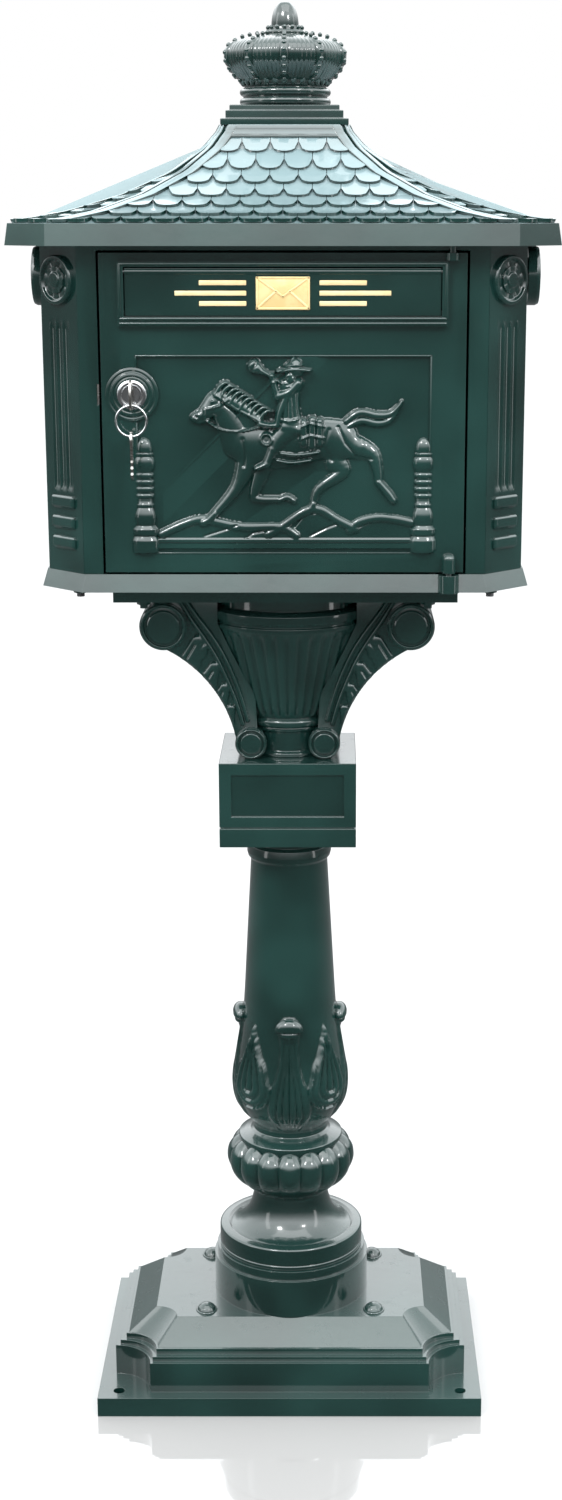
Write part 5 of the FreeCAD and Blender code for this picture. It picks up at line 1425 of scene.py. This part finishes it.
# Floor, light and camera.
stage = {"floorHalf": 60.0, "cameraAt": (0.03561, -1.81744, 0.99623), "tilt": 14.84,
         "lens": 53.555, "film": 36, "shift": (-0.03343, 0.03333), "nearest": 0.05}
ground = bmesh.new()
bmesh.ops.create_grid(ground, x_segments=8, y_segments=8, size=stage["floorHalf"])
floorMesh = bpy.data.meshes.new("floor")
ground.to_mesh(floorMesh)
ground.free()
floor = bpy.data.objects.new("floor", floorMesh)
scene.collection.objects.link(floor)
floor.data.materials.append(pavingFinish())
floor.visible_glossy = False
studio = {"strength": 1.0, "turnsBack": (-0.35, 0.45),
          "front": [(0, 0.10), (0.46, 0.10), (0.54, 0.22), (0.62, 1.2), (0.74, 3.3), (0.9, 2.6),
                    (1, 2.0)],
          "back": [(0, 0.2), (0.51, 0.22), (0.58, 0.6), (0.66, 2.5), (0.82, 2.5), (0.92, 2.0),
                   (1, 1.9)]}

world = bpy.data.worlds.new("studio")
scene.world = world
world.use_nodes = True
world.node_tree.nodes.clear()
sky = NodeKit(world.node_tree)


def skyRamp(height, levels):
    # Grey levels by the height of the direction looked in, from 0 (down) to 1 (up).
    stops = [(place, (level * 0.97, level, level * 1.02)) for place, level in levels]
    return sky.node("ShaderNodeValToRGB", {"stops": stops}, {0: height})


def skyNodes():
    way = sky.node("ShaderNodeTexCoord", output="Generated")
    height = sky.node("ShaderNodeMapRange", None, {
        "From Min": -1, "Value": sky.node("ShaderNodeSeparateXYZ", None, {0: way}, "Z")})
    behind = sky.node("ShaderNodeMapRange", None, {
        "From Min": studio["turnsBack"][0], "From Max": studio["turnsBack"][1],
        "Value": sky.node("ShaderNodeSeparateXYZ", None, {0: way}, "Y")})
    blend = sky.node("ShaderNodeMix", {"data_type": "RGBA"},
                     {0: behind, 6: skyRamp(height, studio["front"]),
                      7: skyRamp(height, studio["back"])}, output=2)
    glow = sky.node("ShaderNodeBackground", None, {0: blend, 1: studio["strength"]})
    # what the camera sees behind the part is plain white
    plain = sky.node("ShaderNodeBackground", None, {0: (1, 1, 1, 1)})
    camera = sky.node("ShaderNodeLightPath", output="Is Camera Ray")
    choice = sky.node("ShaderNodeMixShader", None, {0: camera, 1: glow, 2: plain})
    sky.node("ShaderNodeOutputWorld", None, {0: choice}, output=None)


skyNodes()


def softbox(name, at, aim, size, power):
    data = bpy.data.lights.new(name, "AREA")
    data.shape = "RECTANGLE"
    data.size, data.size_y = size
    data.energy = power
    lamp = bpy.data.objects.new(name, data)
    lamp.location = at
    lamp.rotation_euler = (Vector(aim) - Vector(at)).to_track_quat("-Z", "Y").to_euler()
    scene.collection.objects.link(lamp)


# name: where it stands, what it looks at, its width and height, its power
lamps = {"topLight": ((0.1, -1.0, 3.2), (0, 0, 0.7), (3.0, 2.0), 34),
         "keyLight": ((-1.3, -2.1, 2.7), (0, 0, 0.7), (0.5, 0.5), 26),
         "sparkLight": ((1.5, -2.0, 2.2), (0, 0, 0.6), (0.35, 0.35), 11),
         "leftLight": ((-2.6, -1.2, 1.6), (0, 0, 0.8), (0.5, 2.4), 7),
         "rightLight": ((2.8, -0.9, 1.4), (0, 0, 0.7), (0.4, 2.4), 6)}
for name, (at, aim, size, power) in lamps.items():
    softbox(name, at, aim, size, power)

lens = bpy.data.cameras.new("camera")
lens.sensor_fit = "VERTICAL"
lens.sensor_height = stage["film"]
lens.lens = stage["lens"]
lens.shift_x, lens.shift_y = stage["shift"]
lens.clip_start = stage["nearest"]
eye = bpy.data.objects.new("camera", lens)
eye.location = stage["cameraAt"]
eye.rotation_euler = (math.radians(90 - stage["tilt"]), 0, 0)
scene.collection.objects.link(eye)
scene.camera = eye
bpy.context.view_layer.update()



print("floor, light and camera ready")
